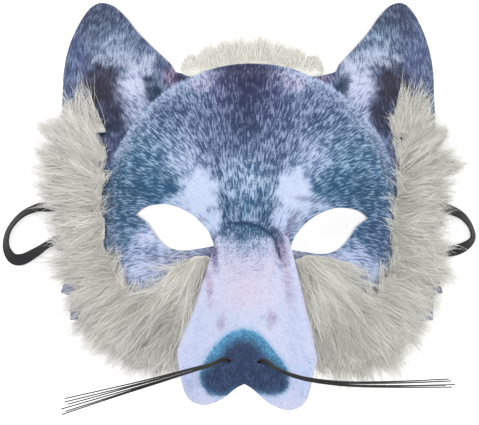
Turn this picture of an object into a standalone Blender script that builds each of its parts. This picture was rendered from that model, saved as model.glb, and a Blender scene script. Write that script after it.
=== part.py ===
"""Wolf half mask lying face up.

X runs to the right, Y up towards the ears, Z out of the face. The eye line is y = 0 and the
surface that the mask lies on is z = 0. Sizes are in metres, and the tables hold shares of them.
"""

import math
import random

import bmesh
import bpy
from mathutils import Vector

# Face sheet
MASK_WIDTH = 0.194
FACE_RADIUS = 0.0755
FACE_CENTRE = 0.009
EAR_BASE = 0.081
EAR_HEIGHT = 0.0355
EAR_WIDTHS = {"left": 0.058, "right": 0.051}
EAR_ROOTS = {"left": 0.039, "right": 0.0425}
SHEET_WALL = 0.0025
RIM_HEIGHT = 0.007
ARCH_HEIGHT = 0.036
ARCH_POWER = 1.6
STEP_HEIGHT = 0.007
STEP_RUN = 0.008
DOME_RISE = 0.006
DENT_DEPTH = 0.003
EAR_DROP = 0.0070
EYE_WIDTH = 0.0395
EYE_HEIGHT = 0.0229
EYE_INNER = 0.0190
EYE_SET = {"left": 0.0006, "right": -0.0012}
FLANGE = 0.0055
GRID = 0.008
CLEARANCE = 0.0003

# Snout sheet
SNOUT_WIDTH = 0.0685
SNOUT_REACH = 0.043
SNOUT_TOP = 0.0055
SNOUT_TOP_DROP = 0.0085
SNOUT_LENGTH = 0.0907
SNOUT_POWER = 2.4
SNOUT_LEAN = 0.0042
SNOUT_SKEW = 0.06
SNOUT_SEAM = 0.0008
SEAT_END = -0.048
WHISKER_HOLE = 0.0026

# Whiskers
WHISKER_THICK = 0.0006
WHISKER_APART = 0.00074
STOP_WIDTH = 0.0048
STOP_THICK = 0.0016
WHISKER_LENGTHS = {"left": 0.088, "right": 0.099}

# Fur
FUR_BACK = 0.0022
FUR_ROOM = 0.0006
FUR_PILE = 0.006
FUR_DROOP = 0.90
FUR_PRESS = 0.0005
LOCK_WIDTH = 0.0140
LOCK_THICK = 0.0085
LOCK_TIP = 0.0022
CROWN_REACH = 0.0130
LOCK_SEEDS = {"left": 12, "right": 11}

# Elastic
STRAP_WIDTH = 0.006
STRAP_THICK = 0.001

# Where the mask's own origin lies in the frame, so that the frame's is below its middle
PLACE = (0.0064, -0.0137, 0.0)

# Arch across the face: height up the face, crown height, half span
ARCH_SECTIONS = (
    (-1.20, 0.74, 1.03),
    (-0.80, 0.80, 1.03),
    (-0.40, 0.93, 1.02),
    (0.10, 1.00, 1.02),
    (0.60, 1.00, 1.03),
    (1.10, 0.96, 1.04),
    (1.60, 0.86, 1.06),
)

# Dents and bulges: x, y, depth, x radius, y radius
DENTS = (
    (0.00, 0.02, 0.90, 0.13, 0.35),
    (0.38, 0.30, 0.75, 0.26, 0.16),
    (0.52, -0.02, -0.70, 0.30, 0.17),
    (0.80, -0.30, 0.60, 0.22, 0.20),
    (0.00, 0.62, -0.35, 0.10, 0.40),
    (0.95, 1.12, -0.85, 0.16, 0.22),
)

# Ear outline from its inner root round the tip: share across, share up
EAR_EDGE = (
    (0.00, 0.00),
    (0.03, 0.09),
    (0.11, 0.22),
    (0.22, 0.39),
    (0.335, 0.585),
    (0.42, 0.765),
    (0.52, 0.925),
    (0.60, 0.990),
    (0.67, 1.000),
    (0.74, 0.945),
    (0.805, 0.83),
    (0.87, 0.66),
    (0.925, 0.47),
    (0.97, 0.24),
    (0.995, 0.00),
)

# Side, ruff points and jaw: share of half width, share of face radius, corner or not
SIDE_EDGE = (
    (1.000, 0.84, 0),
    (0.990, 0.55, 0),
    (0.975, 0.25, 0),
    (0.965, -0.05, 0),
    (0.972, -0.26, 0),
    (1.010, -0.415, 1),
    (0.955, -0.435, 1),
    (0.957, -0.600, 1),
    (0.890, -0.600, 1),
    (0.800, -0.720, 0),
    (0.660, -0.810, 0),
    (0.500, -0.830, 0),
    (0.370, -0.790, 0),
)

# Eye hole: share across from the inner corner, share up from the lowest point
EYE_UPPER = ((0.00, 0.09), (0.02, 0.21), (0.065, 0.385), (0.17, 0.615), (0.29, 0.785),
             (0.45, 0.93), (0.61, 1.00), (0.80, 0.97), (0.92, 0.89), (1.00, 0.77))
EYE_LOWER = ((1.00, 0.77), (0.93, 0.69), (0.86, 0.60), (0.80, 0.455), (0.73, 0.285),
             (0.66, 0.155), (0.58, 0.06), (0.46, 0.0), (0.33, 0.0), (0.18, 0.04), (0.00, 0.09))

# Snout sections: share along, half width, ridge rise, edge rise
SNOUT_SECTIONS = (
    (0.00, 0.53, 0.00, 0.00),
    (0.10, 0.58, 0.02, 0.00),
    (0.20, 0.63, 0.10, 0.01),
    (0.38, 0.72, 0.40, 0.06),
    (0.55, 0.80, 0.66, 0.18),
    (0.70, 0.89, 0.86, 0.34),
    (0.85, 0.97, 0.99, 0.50),
    (0.93, 1.00, 1.00, 0.56),
    (1.00, 0.97, 0.92, 0.58),
)

# Free end of the snout: share across, share along its length
SNOUT_END = (
    (0.00, 0.870),
    (0.12, 0.895),
    (0.31, 0.955),
    (0.49, 0.990),
    (0.66, 1.000),
    (0.83, 0.975),
    (0.93, 0.915),
    (1.00, 0.780),
)

# Fur patch on the sheet: share of face radius across and up
FUR_PATCH = {
    "left": ((1.06, 0.86), (1.02, 0.52), (1.02, 0.16), (0.93, 0.00), (0.90, -0.24), (0.82, -0.38),
             (0.70, -0.41), (0.53, -0.26), (0.37, -0.14), (0.24, -0.16), (0.27, -0.40),
             (0.33, -0.66), (0.40, -0.84), (0.64, -0.90), (0.90, -0.82), (1.10, -0.62),
             (1.21, -0.38), (1.24, 0.00), (1.25, 0.40), (1.25, 0.72), (1.19, 0.90)),
    "right": ((1.02, 0.86), (0.99, 0.52), (0.95, 0.20), (0.94, -0.05), (0.90, -0.30), (0.82, -0.46),
              (0.66, -0.42), (0.57, -0.24), (0.50, -0.15), (0.38, -0.15), (0.24, -0.17),
              (0.27, -0.40), (0.33, -0.66), (0.40, -0.84), (0.64, -0.90), (0.90, -0.82),
              (1.10, -0.62), (1.18, -0.38), (1.20, 0.00), (1.20, 0.40), (1.18, 0.72),
              (1.13, 0.88)),
}

# Reach of the fur round the face: degrees from straight down, roots, left tips, right tips
FUR_REACH = (
    (22, 0.86, 1.17, 1.13),
    (32, 0.90, 1.26, 1.30),
    (40, 0.98, 1.39, 1.46),
    (50, 1.02, 1.40, 1.43),
    (58, 1.06, 1.44, 1.40),
    (67, 1.10, 1.33, 1.33),
    (75, 1.12, 1.41, 1.41),
    (84, 1.12, 1.34, 1.37),
    (92, 1.12, 1.44, 1.36),
    (105, 1.12, 1.55, 1.52),
    (118, 1.16, 1.63, 1.45),
    (130, 1.20, 1.54, 1.42),
)

# Locks on the inner cheek: ring radius, first and last angle, locks, length
CHEEK_LOCKS = {
    "left": ((0.44, 38, 50, 1, 0.26), (0.66, 31, 50, 2, 0.28)),
    "right": ((0.44, 40, 57, 1, 0.26), (0.66, 31, 56, 2, 0.28)),
}

# Elastic: share of half width, share of face radius, height or seat, turn about its run
STRAP_ROUTE = (
    (-0.780, 0.165, "seat", 0),
    (-0.840, 0.165, "seat", 0),
    (-0.900, 0.166, 0.0080, 0),
    (-0.960, 0.167, 0.0036, 2),
    (-1.015, 0.168, 0.0014, 12),
    (-1.075, 0.167, 0.0019, 32),
    (-1.140, 0.160, 0.0027, 50),
    (-1.220, 0.110, 0.0032, 62),
    (-1.285, 0.010, 0.0033, 66),
    (-1.300, -0.100, 0.0030, 55),
    (-1.268, -0.180, 0.0021, 25),
    (-1.215, -0.190, 0.0014, -12),
    (-1.140, -0.140, 0.0022, -40),
    (-1.075, -0.085, 0.0028, -55),
    (-1.010, -0.060, 0.0016, -25),
    (-0.930, -0.105, 0.0005, 0),
    (-0.800, -0.230, 0.0005, 0),
    (0.000, -0.330, 0.0005, 0),
    (0.800, -0.270, 0.0005, 0),
    (0.930, -0.170, 0.0005, 0),
    (1.000, -0.140, 0.0009, 6),
    (1.070, -0.130, 0.0014, 15),
    (1.130, -0.100, 0.0022, 38),
    (1.170, -0.045, 0.0031, 62),
    (1.160, 0.030, 0.0032, 66),
    (1.120, 0.100, 0.0030, 55),
    (1.065, 0.140, 0.0024, 38),
    (1.010, 0.155, 0.0014, 14),
    (0.960, 0.158, 0.0036, 2),
    (0.900, 0.158, 0.0080, 0),
    (0.840, 0.158, "seat", 0),
    (0.780, 0.158, "seat", 0),
)

# Whiskers past the nose: share of length out, share of length down, fall in metres
WHISKER_SWEEP = {
    "left": ((0.10, 0.030, 0.000), (0.24, 0.075, 0.001), (0.45, 0.135, 0.004),
             (0.72, 0.190, 0.010), (1.00, 0.235, 0.018)),
    "right": ((0.10, 0.035, 0.000), (0.24, 0.085, 0.001), (0.45, 0.130, 0.004),
              (0.72, 0.130, 0.010), (1.00, 0.115, 0.018)),
}
# Each bristle: degrees round the bundle, share of length, spread of its tip down and up
WHISKER_TIPS = (
    (-90, 1.00, -0.0058, 0.0012),
    (-150, 0.975, -0.0034, -0.0022),
    (-30, 1.01, -0.0012, 0.0022),
    (150, 0.96, 0.0012, -0.0026),
    (30, 0.99, 0.0034, 0.0020),
    (90, 0.945, 0.0056, -0.0008),
)

COLOURS = {
    "face_shell": ((0.19, 0.24, 0.38), 0.85),
    "snout": ((0.63, 0.66, 0.84), 0.85),
    "fur_cheek_left": ((0.58, 0.53, 0.43), 0.95),
    "fur_cheek_right": ((0.50, 0.48, 0.42), 0.95),
    "fur_crown": ((0.70, 0.66, 0.54), 0.95),
    "whiskers_left": ((0.012, 0.011, 0.010), 0.35),
    "whiskers_right": ((0.012, 0.011, 0.010), 0.35),
    "elastic_strap": ((0.020, 0.020, 0.024), 0.70),
}

SIDES = {"left": -1, "right": 1}


def clear_scene():
    for old in list(bpy.data.objects):
        bpy.data.objects.remove(old, do_unlink=True)


def ease(start, end, value):
    share = min(max((value - start) / (end - start), 0.0), 1.0)
    return share * share * (3 - 2 * share)


def read_table(rows, at):
    """Row of a table at a value of its first column, smooth through the rows."""
    if at <= rows[0][0]:
        return rows[0][1:]
    if at >= rows[-1][0]:
        return rows[-1][1:]
    spot = max(i for i in range(len(rows) - 1) if rows[i][0] <= at)
    low, high = rows[spot], rows[spot + 1]
    before, after = rows[max(spot - 1, 0)], rows[min(spot + 2, len(rows) - 1)]
    run = high[0] - low[0]
    t = (at - low[0]) / run
    found = []
    for column in range(1, len(low)):
        slope_in = (high[column] - before[column]) / (high[0] - before[0]) * run
        slope_out = (after[column] - low[column]) / (after[0] - low[0]) * run
        found.append(
            low[column] * (2 * t**3 - 3 * t**2 + 1)
            + slope_in * (t**3 - 2 * t**2 + t)
            + high[column] * (3 * t**2 - 2 * t**3)
            + slope_out * (t**3 - t**2)
        )
    return found


def smooth_run(points, step):
    """Points along a smooth curve through the given ones, about one step apart."""
    points = [Vector(p) for p in points]
    ends = [points[0] * 2 - points[1]] + points + [points[-1] * 2 - points[-2]]
    fine = []
    for i in range(1, len(ends) - 2):
        a, b, c, d = ends[i - 1 : i + 3]
        pieces = max(1, round((c - b).length / step))
        for k in range(pieces):
            t = k / pieces
            fine.append(
                (b * 2 + (c - a) * t + (a * 2 - b * 5 + c * 4 - d) * t**2
                 + (b * 3 - a - c * 3 + d) * t**3) * 0.5
            )
    fine.append(points[-1])
    return fine


def mould_height(x, y):
    """Height of the face sheet's front over the table."""
    crown, span = read_table(ARCH_SECTIONS, y / FACE_RADIUS)
    share = abs(x) / (span * MASK_WIDTH / 2)
    height = RIM_HEIGHT + ARCH_HEIGHT * crown * (1 - share**ARCH_POWER)
    radius = math.hypot(x, y - FACE_CENTRE)
    height += STEP_HEIGHT * ease(0, STEP_RUN, FACE_RADIUS - radius)
    height += DOME_RISE * max(0.0, 1 - (radius / FACE_RADIUS) ** 2)
    for dent_x, dent_y, depth, wide, tall in DENTS:
        across = (abs(x) / FACE_RADIUS - dent_x) / wide
        along = (y / FACE_RADIUS - dent_y) / tall
        height += DENT_DEPTH * depth * math.exp(-across * across - along * along)
    return height - EAR_DROP * ease(0.75, 1.15, y / FACE_RADIUS) * (2 * abs(x) / MASK_WIDTH) ** 3


def sheet_point(x, y, depth=0.0):
    """Point on the sheet, moved in by a depth square to its front."""
    step = 0.0004
    slope_x = (mould_height(x + step, y) - mould_height(x - step, y)) / (2 * step)
    slope_y = (mould_height(x, y + step) - mould_height(x, y - step)) / (2 * step)
    normal = Vector((-slope_x, -slope_y, 1)).normalized()
    return Vector((x, y, mould_height(x, y))) - normal * depth


def snout_half(y):
    """Half width of the snout at a height on the face."""
    share = (SNOUT_TOP - SNOUT_TOP_DROP - y) / (SNOUT_LENGTH * SNOUT_END[-1][1] - SNOUT_TOP_DROP)
    return read_table(SNOUT_SECTIONS, share)[0] * SNOUT_WIDTH / 2


def side_outline(side):
    """Edge of the sheet on one side, from the forehead's top down to the notch's top."""
    turn = SIDES[side]
    root, wide = EAR_ROOTS[side], EAR_WIDTHS[side]
    arc_end = math.asin(0.405)
    arc = [(FACE_RADIUS * math.sin(arc_end * k / 4),
            FACE_CENTRE + FACE_RADIUS * math.cos(arc_end * k / 4), 0) for k in range(5)]
    dip = [(root - 0.0035, EAR_BASE - 0.0012, 0)]
    ear = [(root + wide * across, EAR_BASE + EAR_HEIGHT * up, 0) for across, up in EAR_EDGE]
    edge = smooth_run(arc + dip + ear, 0.006)
    outer = (root + wide) / (MASK_WIDTH / 2)
    run = [edge.pop()]
    for across, up, corner in SIDE_EDGE:
        across += (outer - 1) * ease(0.2, 0.9, up)
        run.append(Vector((across * MASK_WIDTH / 2, up * FACE_RADIUS, 0)))
        if corner:
            edge += smooth_run(run, 0.009)[:-1]
            run = [run[-1]]
    edge += smooth_run(run, 0.009)[:-1]
    notch = []
    lowest = -0.66 * FACE_RADIUS
    top = EYE_LOWER[-1][1] * EYE_HEIGHT - 0.42 * EYE_HEIGHT
    for k in range(6):
        y = lowest + (top - lowest) * k / 5
        notch.append((snout_half(y) - FLANGE, y, 0))
    notch += [(0.55 * (snout_half(0) - FLANGE), top + 0.0045, 0), (0, top + 0.0055, 0)]
    jaw_end = Vector((SIDE_EDGE[-1][0] * MASK_WIDTH / 2, SIDE_EDGE[-1][1] * FACE_RADIUS, 0))
    edge += smooth_run([jaw_end, notch[0]], 0.02)[:-1]
    edge += smooth_run(notch, 0.008)
    return [(turn * p.x, p.y) for p in edge]


def eye_outline(side):
    turn = SIDES[side]
    lowest = -0.0096 + EYE_SET[side]
    ring = []
    for rows in (EYE_UPPER, EYE_LOWER):
        edge = [(EYE_INNER + EYE_WIDTH * across, lowest + EYE_HEIGHT * up, 0)
                for across, up in rows]
        ring += smooth_run(edge, 0.0045)[:-1]
    return [(turn * p.x, p.y) for p in ring]


def mesh_object(name, verts, faces):
    mesh = bpy.data.meshes.new(name)
    mesh.from_pydata([tuple(v) for v in verts], [], faces)
    made = bpy.data.objects.new(name, mesh)
    bpy.context.scene.collection.objects.link(made)
    outward(made)
    return made


def outward(made):
    """Faces turned out, by the sign of the volume."""
    shape = bmesh.new()
    shape.from_mesh(made.data)
    bmesh.ops.recalc_face_normals(shape, faces=shape.faces)
    if shape.calc_volume(signed=True) < 0:
        bmesh.ops.reverse_faces(shape, faces=shape.faces)
    shape.to_mesh(made.data)
    shape.free()


def boolean(target, other, operation, solver="EXACT"):
    """Boolean with another object, which is used up, kept as the target's mesh."""
    cut = target.modifiers.new("cut", "BOOLEAN")
    cut.operation = operation
    cut.solver = solver
    cut.object = other
    bpy.context.view_layer.update()
    graph = bpy.context.evaluated_depsgraph_get()
    mesh = bpy.data.meshes.new_from_object(target.evaluated_get(graph))
    target.modifiers.clear()
    target.data = mesh
    bpy.data.objects.remove(other, do_unlink=True)


def fur_boolean(fur, other, operation):
    """Boolean of the many crossing locks, where the exact solver leaves open edges."""
    boolean(fur, other, operation, "MANIFOLD")


def prism(name, ring, low, high):
    """Upright solid with the ring as its outline."""
    count = len(ring)
    verts = [(x, y, low) for x, y in ring] + [(x, y, high) for x, y in ring]
    faces = [list(range(count)), list(range(count, 2 * count))]
    faces += [(i, (i + 1) % count, count + (i + 1) % count, count + i) for i in range(count)]
    return mesh_object(name, verts, faces)


def grid_slab(name, low, high, pitch):
    """Flat slab one metre thick, its top and underside divided in squares."""
    columns = math.ceil((high[0] - low[0]) / pitch)
    rows = math.ceil((high[1] - low[1]) / pitch)
    shape = bmesh.new()
    bmesh.ops.create_grid(shape, x_segments=columns, y_segments=rows, size=0.5)
    for vert in shape.verts:
        vert.co.x = low[0] + (vert.co.x + 0.5) * columns * pitch
        vert.co.y = low[1] + (vert.co.y + 0.5) * rows * pitch
    bmesh.ops.triangulate(shape, faces=shape.faces, quad_method="FIXED")
    made = bmesh.ops.extrude_face_region(shape, geom=shape.faces[:])
    for item in made["geom"]:
        if isinstance(item, bmesh.types.BMVert):
            item.co.z = 1.0
    mesh = bpy.data.meshes.new(name)
    shape.to_mesh(mesh)
    shape.free()
    slab = bpy.data.objects.new(name, mesh)
    bpy.context.scene.collection.objects.link(slab)
    outward(slab)
    return slab


def moulded(name, ring, holes, top, under, pitch=GRID):
    """Solid with a plan outline, its top and underside set by two functions of x and y."""
    spread = 0.0061
    low = (min(p[0] for p in ring) - spread, min(p[1] for p in ring) - spread)
    low = tuple(math.floor(v / pitch) * pitch + 0.37 * pitch - pitch for v in low)
    high = (max(p[0] for p in ring) + spread, max(p[1] for p in ring) + spread)
    solid = grid_slab(name, low, high, pitch)
    boolean(solid, prism("outline", ring, -1, 2), "INTERSECT")
    for hole in holes:
        boolean(solid, prism("hole", hole, -1, 2), "DIFFERENCE")
    shape = bmesh.new()
    shape.from_mesh(solid.data)
    bmesh.ops.remove_doubles(shape, verts=shape.verts, dist=0.0009)
    bmesh.ops.triangulate(shape, faces=shape.faces)
    for vert in shape.verts:
        place = top if vert.co.z > 0.5 else under
        vert.co = place(vert.co.x, vert.co.y)
    shape.to_mesh(solid.data)
    shape.free()
    outward(solid)
    return solid


def build_face_shell():
    ring = side_outline("right")
    ring += list(reversed(side_outline("left")))[1:-1]
    eyes = [eye_outline(side) for side in SIDES]
    solid = moulded("face_shell", ring, eyes, lambda x, y: sheet_point(x, y),
                    lambda x, y: sheet_point(x, y, SHEET_WALL))
    return solid, ring


def snout_wall(along):
    return SNOUT_SEAM + (SHEET_WALL - SNOUT_SEAM) * ease(0.0, 0.12, along)


def snout_front(angle, along):
    """Front of the snout sheet: angle from the ridge in radians, share along its length."""
    half, ridge, edge = read_table(SNOUT_SECTIONS, along)
    across = abs(math.sin(angle)) ** (2 / SNOUT_POWER)
    arch = max(math.cos(angle), 0.0) ** (2 / SNOUT_POWER)
    rise = edge + (ridge - edge) * arch
    x = math.copysign(across, angle) * half * SNOUT_WIDTH / 2
    top = SNOUT_TOP - SNOUT_TOP_DROP * across**2
    end = SNOUT_TOP - SNOUT_LENGTH * read_table(SNOUT_END, across)[0]
    y = top + (end - top) * along
    seat = mould_height(x, max(y, SEAT_END)) + CLEARANCE + snout_wall(along)
    seat += (FUR_BACK + CLEARANCE) * ease(0.08, 0.22, along)
    y -= x * SNOUT_SKEW * ease(0.5, 1.0, along)
    return Vector((x - SNOUT_LEAN * rise, y, seat + SNOUT_REACH * rise))


def snout_point(angle, along, depth):
    """Point under the front of the snout sheet, by a depth square to it."""
    angle = min(max(angle, -math.pi / 2 + 0.002), math.pi / 2 - 0.002)
    turn, run = 0.02, 0.01
    left, right = max(angle - turn, -math.pi / 2), min(angle + turn, math.pi / 2)
    back, fore = max(along - run, 0.0), min(along + run, 1.0)
    across = snout_front(right, along) - snout_front(left, along)
    onward = snout_front(angle, back) - snout_front(angle, fore)
    return snout_front(angle, along) - across.cross(onward).normalized() * depth


def build_snout():
    turns, runs = 20, 16
    verts, faces = [], []
    for layer in (0, 1):
        for j in range(runs + 1):
            along = j / runs
            for i in range(turns + 1):
                angle = math.pi * (i / turns - 0.5)
                verts.append(snout_point(angle, along, layer * snout_wall(along)))
    row = turns + 1
    layer_size = row * (runs + 1)
    rim = [(i, 0) for i in range(turns)] + [(turns, j) for j in range(runs)]
    rim += [(i, runs) for i in range(turns, 0, -1)] + [(0, j) for j in range(runs, 0, -1)]
    for j in range(runs):
        for i in range(turns):
            a, b = j * row + i, j * row + i + 1
            faces += [(a, b, b + row), (a, b + row, a + row)]
            a, b = a + layer_size, b + layer_size
            faces += [(b, a, b + row), (a, a + row, b + row)]
    for k, (i, j) in enumerate(rim):
        m, n = rim[(k + 1) % len(rim)]
        a, b = j * row + i, n * row + m
        faces += [(b, a, a + layer_size), (b, a + layer_size, b + layer_size)]
    snout = mesh_object("snout", verts, faces)
    for side in SIDES:
        boolean(snout, tube("hole", whisker_axis(side, 0.006, -0.008), WHISKER_HOLE / 2, 10),
                "DIFFERENCE")
    return snout


def whisker_root(side):
    """Angle and share along of a whisker hole."""
    return SIDES[side] * 0.175, 0.800


def whisker_axis(side, above, below):
    angle, along = whisker_root(side)
    return [snout_point(angle, along, -above), snout_point(angle, along, -below)]


def tube(name, points, radius, sides, radii=None):
    """Round bar along points, its ends closed."""
    points = [Vector(p) for p in points]
    radii = radii or [radius] * len(points)
    verts, faces = [], []
    guide = Vector((0.31, 0.17, 0.93)).normalized()
    first = (points[1] - points[0]).normalized()
    if abs(first.dot(guide)) > 0.9:
        guide = Vector((0.9, -0.3, 0.2)).normalized()
    for k, point in enumerate(points):
        run = (points[min(k + 1, len(points) - 1)] - points[max(k - 1, 0)]).normalized()
        across = (guide - run * guide.dot(run)).normalized()
        up = run.cross(across)
        guide = across
        for i in range(sides):
            turn = 2 * math.pi * i / sides
            verts.append(point + (across * math.cos(turn) + up * math.sin(turn)) * radii[k])
    for k in range(len(points) - 1):
        for i in range(sides):
            n = (i + 1) % sides
            faces.append((k * sides + i, k * sides + n, (k + 1) * sides + n, (k + 1) * sides + i))
    last = (len(points) - 1) * sides
    faces += [list(range(sides)), list(range(last, last + sides))]
    return mesh_object(name, verts, faces)


def build_whiskers(side):
    """Six bristles fused to a flat stop behind the nose."""
    turn = SIDES[side]
    angle, along = whisker_root(side)
    length = WHISKER_LENGTHS[side]
    stop_top = -SHEET_WALL - CLEARANCE
    stop = tube("stop", whisker_axis(side, stop_top, stop_top - STOP_THICK), STOP_WIDTH / 2, 12)
    hole = snout_point(angle, along, 0)
    out = snout_point(angle, along, -1) - hole
    bristles = []
    for place, share, spread_down, spread_up in WHISKER_TIPS:
        place = math.radians(place)
        ring = Vector((math.cos(place), math.sin(place), 0)) * WHISKER_APART
        path = [hole + out * (stop_top - STOP_THICK / 2) + ring]
        path.append(hole - out * SHEET_WALL * 0.4 + ring)
        path.append(hole + out * 0.0009 + ring + Vector((turn * 0.0003, 0, 0)))
        path.append(hole + out * 0.0026 + ring + Vector((turn * 0.0022, -0.0006, 0)))
        for across, down, fall in WHISKER_SWEEP[side]:
            grow = across / WHISKER_SWEEP[side][-1][0]
            spot = hole + Vector((turn * across * length * share,
                                  -down * length + spread_down * grow**1.5,
                                  0.0042 - fall + spread_up * grow**1.5))
            path.append(spot + ring)
        path = smooth_run(path, 0.021)
        thick = [WHISKER_THICK / 2 * (1 - 0.5 * k / (len(path) - 1)) for k in range(len(path))]
        bristles.append(tube("bristle", path, 0, 4, thick))
    for bristle in bristles:
        boolean(stop, bristle, "UNION")
    stop.name = "whiskers_" + side
    return stop


def lock(points, wide, thick):
    """Flattened tapering lock of fur along points, thickest near its root."""
    points = [Vector(p) for p in points]
    verts, faces = [], []
    sides = 5
    count = len(points)
    for k, point in enumerate(points[:-1]):
        share = k / (count - 1)
        swell = (0.62 + 1.5 * share - 0.95 * share**2) * (1 - share**2.2)
        run = (points[k + 1] - points[max(k - 1, 0)]).normalized()
        across = Vector((-run.y, run.x, 0)).normalized()
        up = across.cross(run)
        if up.z < 0:
            up = -up
        half_wide = max(wide / 2 * swell, LOCK_TIP / 2)
        half_thick = max(thick / 2 * swell, LOCK_TIP / 2)
        for i in range(sides):
            turn = 2 * math.pi * (i + 0.5) / sides
            verts.append(point + across * half_wide * math.cos(turn)
                         + up * half_thick * math.sin(turn))
    tip = len(verts)
    verts.append(points[-1])
    for k in range(count - 2):
        for i in range(sides):
            n = (i + 1) % sides
            faces.append((k * sides + i, k * sides + n, (k + 1) * sides + n, (k + 1) * sides + i))
    last = (count - 2) * sides
    faces += [(last + i, last + (i + 1) % sides, tip) for i in range(sides)]
    faces.append(list(range(sides)))
    return mesh_object("lock", verts, faces)


def fur_floor(x, y):
    """Surface that fur lies on: the sheet, and past its rim a fall to the table."""
    rim = MASK_WIDTH / 2
    reach = math.hypot(x, y - FACE_CENTRE)
    bearing = math.degrees(math.atan2(abs(x), FACE_CENTRE - y))
    edge = rim * (0.80 + 0.20 * ease(30, 75, bearing)) if bearing < 110 else rim * 1.08
    inner = min(reach, edge) / max(reach, 1e-6)
    height = mould_height(x * inner, FACE_CENTRE + (y - FACE_CENTRE) * inner)
    return max(height - FUR_DROOP * max(reach - edge, 0), -FUR_PRESS - CLEARANCE)


def fur_locks(side, dice):
    """Locks of one cheek: an outer row, a row on top of it and the inner cheek's rings."""
    turn = SIDES[side]
    column = 1 if side == "left" else 2

    def spot(bearing, radius, lift):
        a = math.radians(bearing)
        x, y = turn * radius * math.sin(a), FACE_CENTRE - radius * math.cos(a)
        return Vector((x, y, max(fur_floor(x, y) + lift, -FUR_PRESS)))

    def strand(bearing, start, end, wide, thick, sway, lift=0.0):
        points = []
        for k in range(4):
            share = k / 3
            radius = start + (end - start) * share
            rise = CLEARANCE + thick * 0.5 * (1 - share) + lift * math.sin(math.pi * share * 0.8)
            points.append(spot(bearing + sway * share**1.5, radius, rise))
        return lock(points, wide, thick)

    locks = []
    bearing = 24.0
    while bearing < 127:
        roots, left, right = read_table(FUR_REACH, bearing)
        tip = (left, right)[column - 1] * FACE_RADIUS
        wide = LOCK_WIDTH * dice.uniform(0.9, 1.15)
        sway = dice.uniform(-3.5, 3.5) + (4 if bearing > 112 else 0)
        locks.append(strand(bearing, roots * FACE_RADIUS - 0.008, tip * dice.uniform(0.97, 1.02),
                            wide, LOCK_THICK, sway))
        bearing += math.degrees(LOCK_WIDTH * 0.86 / (roots * FACE_RADIUS))
    bearing = 30.0
    while bearing < 124:
        roots, left, right = read_table(FUR_REACH, bearing)
        middle = (roots - 0.10) * FACE_RADIUS
        tip = roots + ((left, right)[column - 1] - roots) * 0.45
        locks.append(strand(bearing, middle, tip * FACE_RADIUS, LOCK_WIDTH, LOCK_THICK * 0.85,
                            dice.uniform(-6, 6), FUR_PILE * 0.5))
        bearing += math.degrees(LOCK_WIDTH * 1.35 / (roots * FACE_RADIUS))
    for ring, first, last, count, length in CHEEK_LOCKS[side]:
        for k in range(count):
            bearing = first + (last - first) * (k + 0.5) / count
            start = ring * FACE_RADIUS
            locks.append(strand(bearing, start, start + length * FACE_RADIUS, LOCK_WIDTH,
                                LOCK_THICK * 0.8, dice.uniform(0, 7), FUR_PILE * 0.3))
    return locks


def swollen(source, name, grow):
    """Copy of a solid grown square to its surface."""
    shape = bmesh.new()
    shape.from_mesh(source.data)
    shape.normal_update()
    moved = [(vert, vert.co + vert.normal * grow) for vert in shape.verts]
    for vert, place in moved:
        vert.co = place
    mesh = bpy.data.meshes.new(name)
    shape.to_mesh(mesh)
    shape.free()
    made = bpy.data.objects.new(name, mesh)
    bpy.context.scene.collection.objects.link(made)
    return made


def grown_ring(ring, grow):
    """Plan outline moved out by a distance."""
    points = [Vector(p) for p in ring]
    area = sum(points[i - 1].cross(points[i]) for i in range(len(points)))
    turn = 1 if area > 0 else -1
    moved = []
    for i, point in enumerate(points):
        before, after = points[i - 1], points[(i + 1) % len(points)]
        run = (after - before).normalized()
        moved.append(tuple(point + Vector((run.y, -run.x)) * grow * turn))
    return moved


def drop_chips(made):
    """Main body kept, and loose chips that a cut left behind taken away."""
    shape = bmesh.new()
    shape.from_mesh(made.data)
    left = set(shape.verts)
    bodies = []
    while left:
        stack = [left.pop()]
        body = set(stack)
        while stack:
            for edge in stack.pop().link_edges:
                for vert in edge.verts:
                    if vert in left:
                        left.discard(vert)
                        body.add(vert)
                        stack.append(vert)
        bodies.append(body)
    main = max(bodies, key=len)
    chips = [vert for body in bodies if body is not main for vert in body]
    bmesh.ops.delete(shape, geom=chips, context="VERTS")
    bmesh.ops.remove_doubles(shape, verts=shape.verts, dist=0.000003)
    bmesh.ops.triangulate(shape, faces=shape.faces)
    shape.to_mesh(made.data)
    shape.free()


def box(name, low, high):
    verts = [(x, y, z) for x in (low[0], high[0]) for y in (low[1], high[1])
             for z in (low[2], high[2])]
    faces = [(0, 1, 3, 2), (4, 6, 7, 5), (0, 4, 5, 1), (2, 3, 7, 6), (0, 2, 6, 4), (1, 5, 7, 3)]
    return mesh_object(name, verts, faces)


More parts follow.
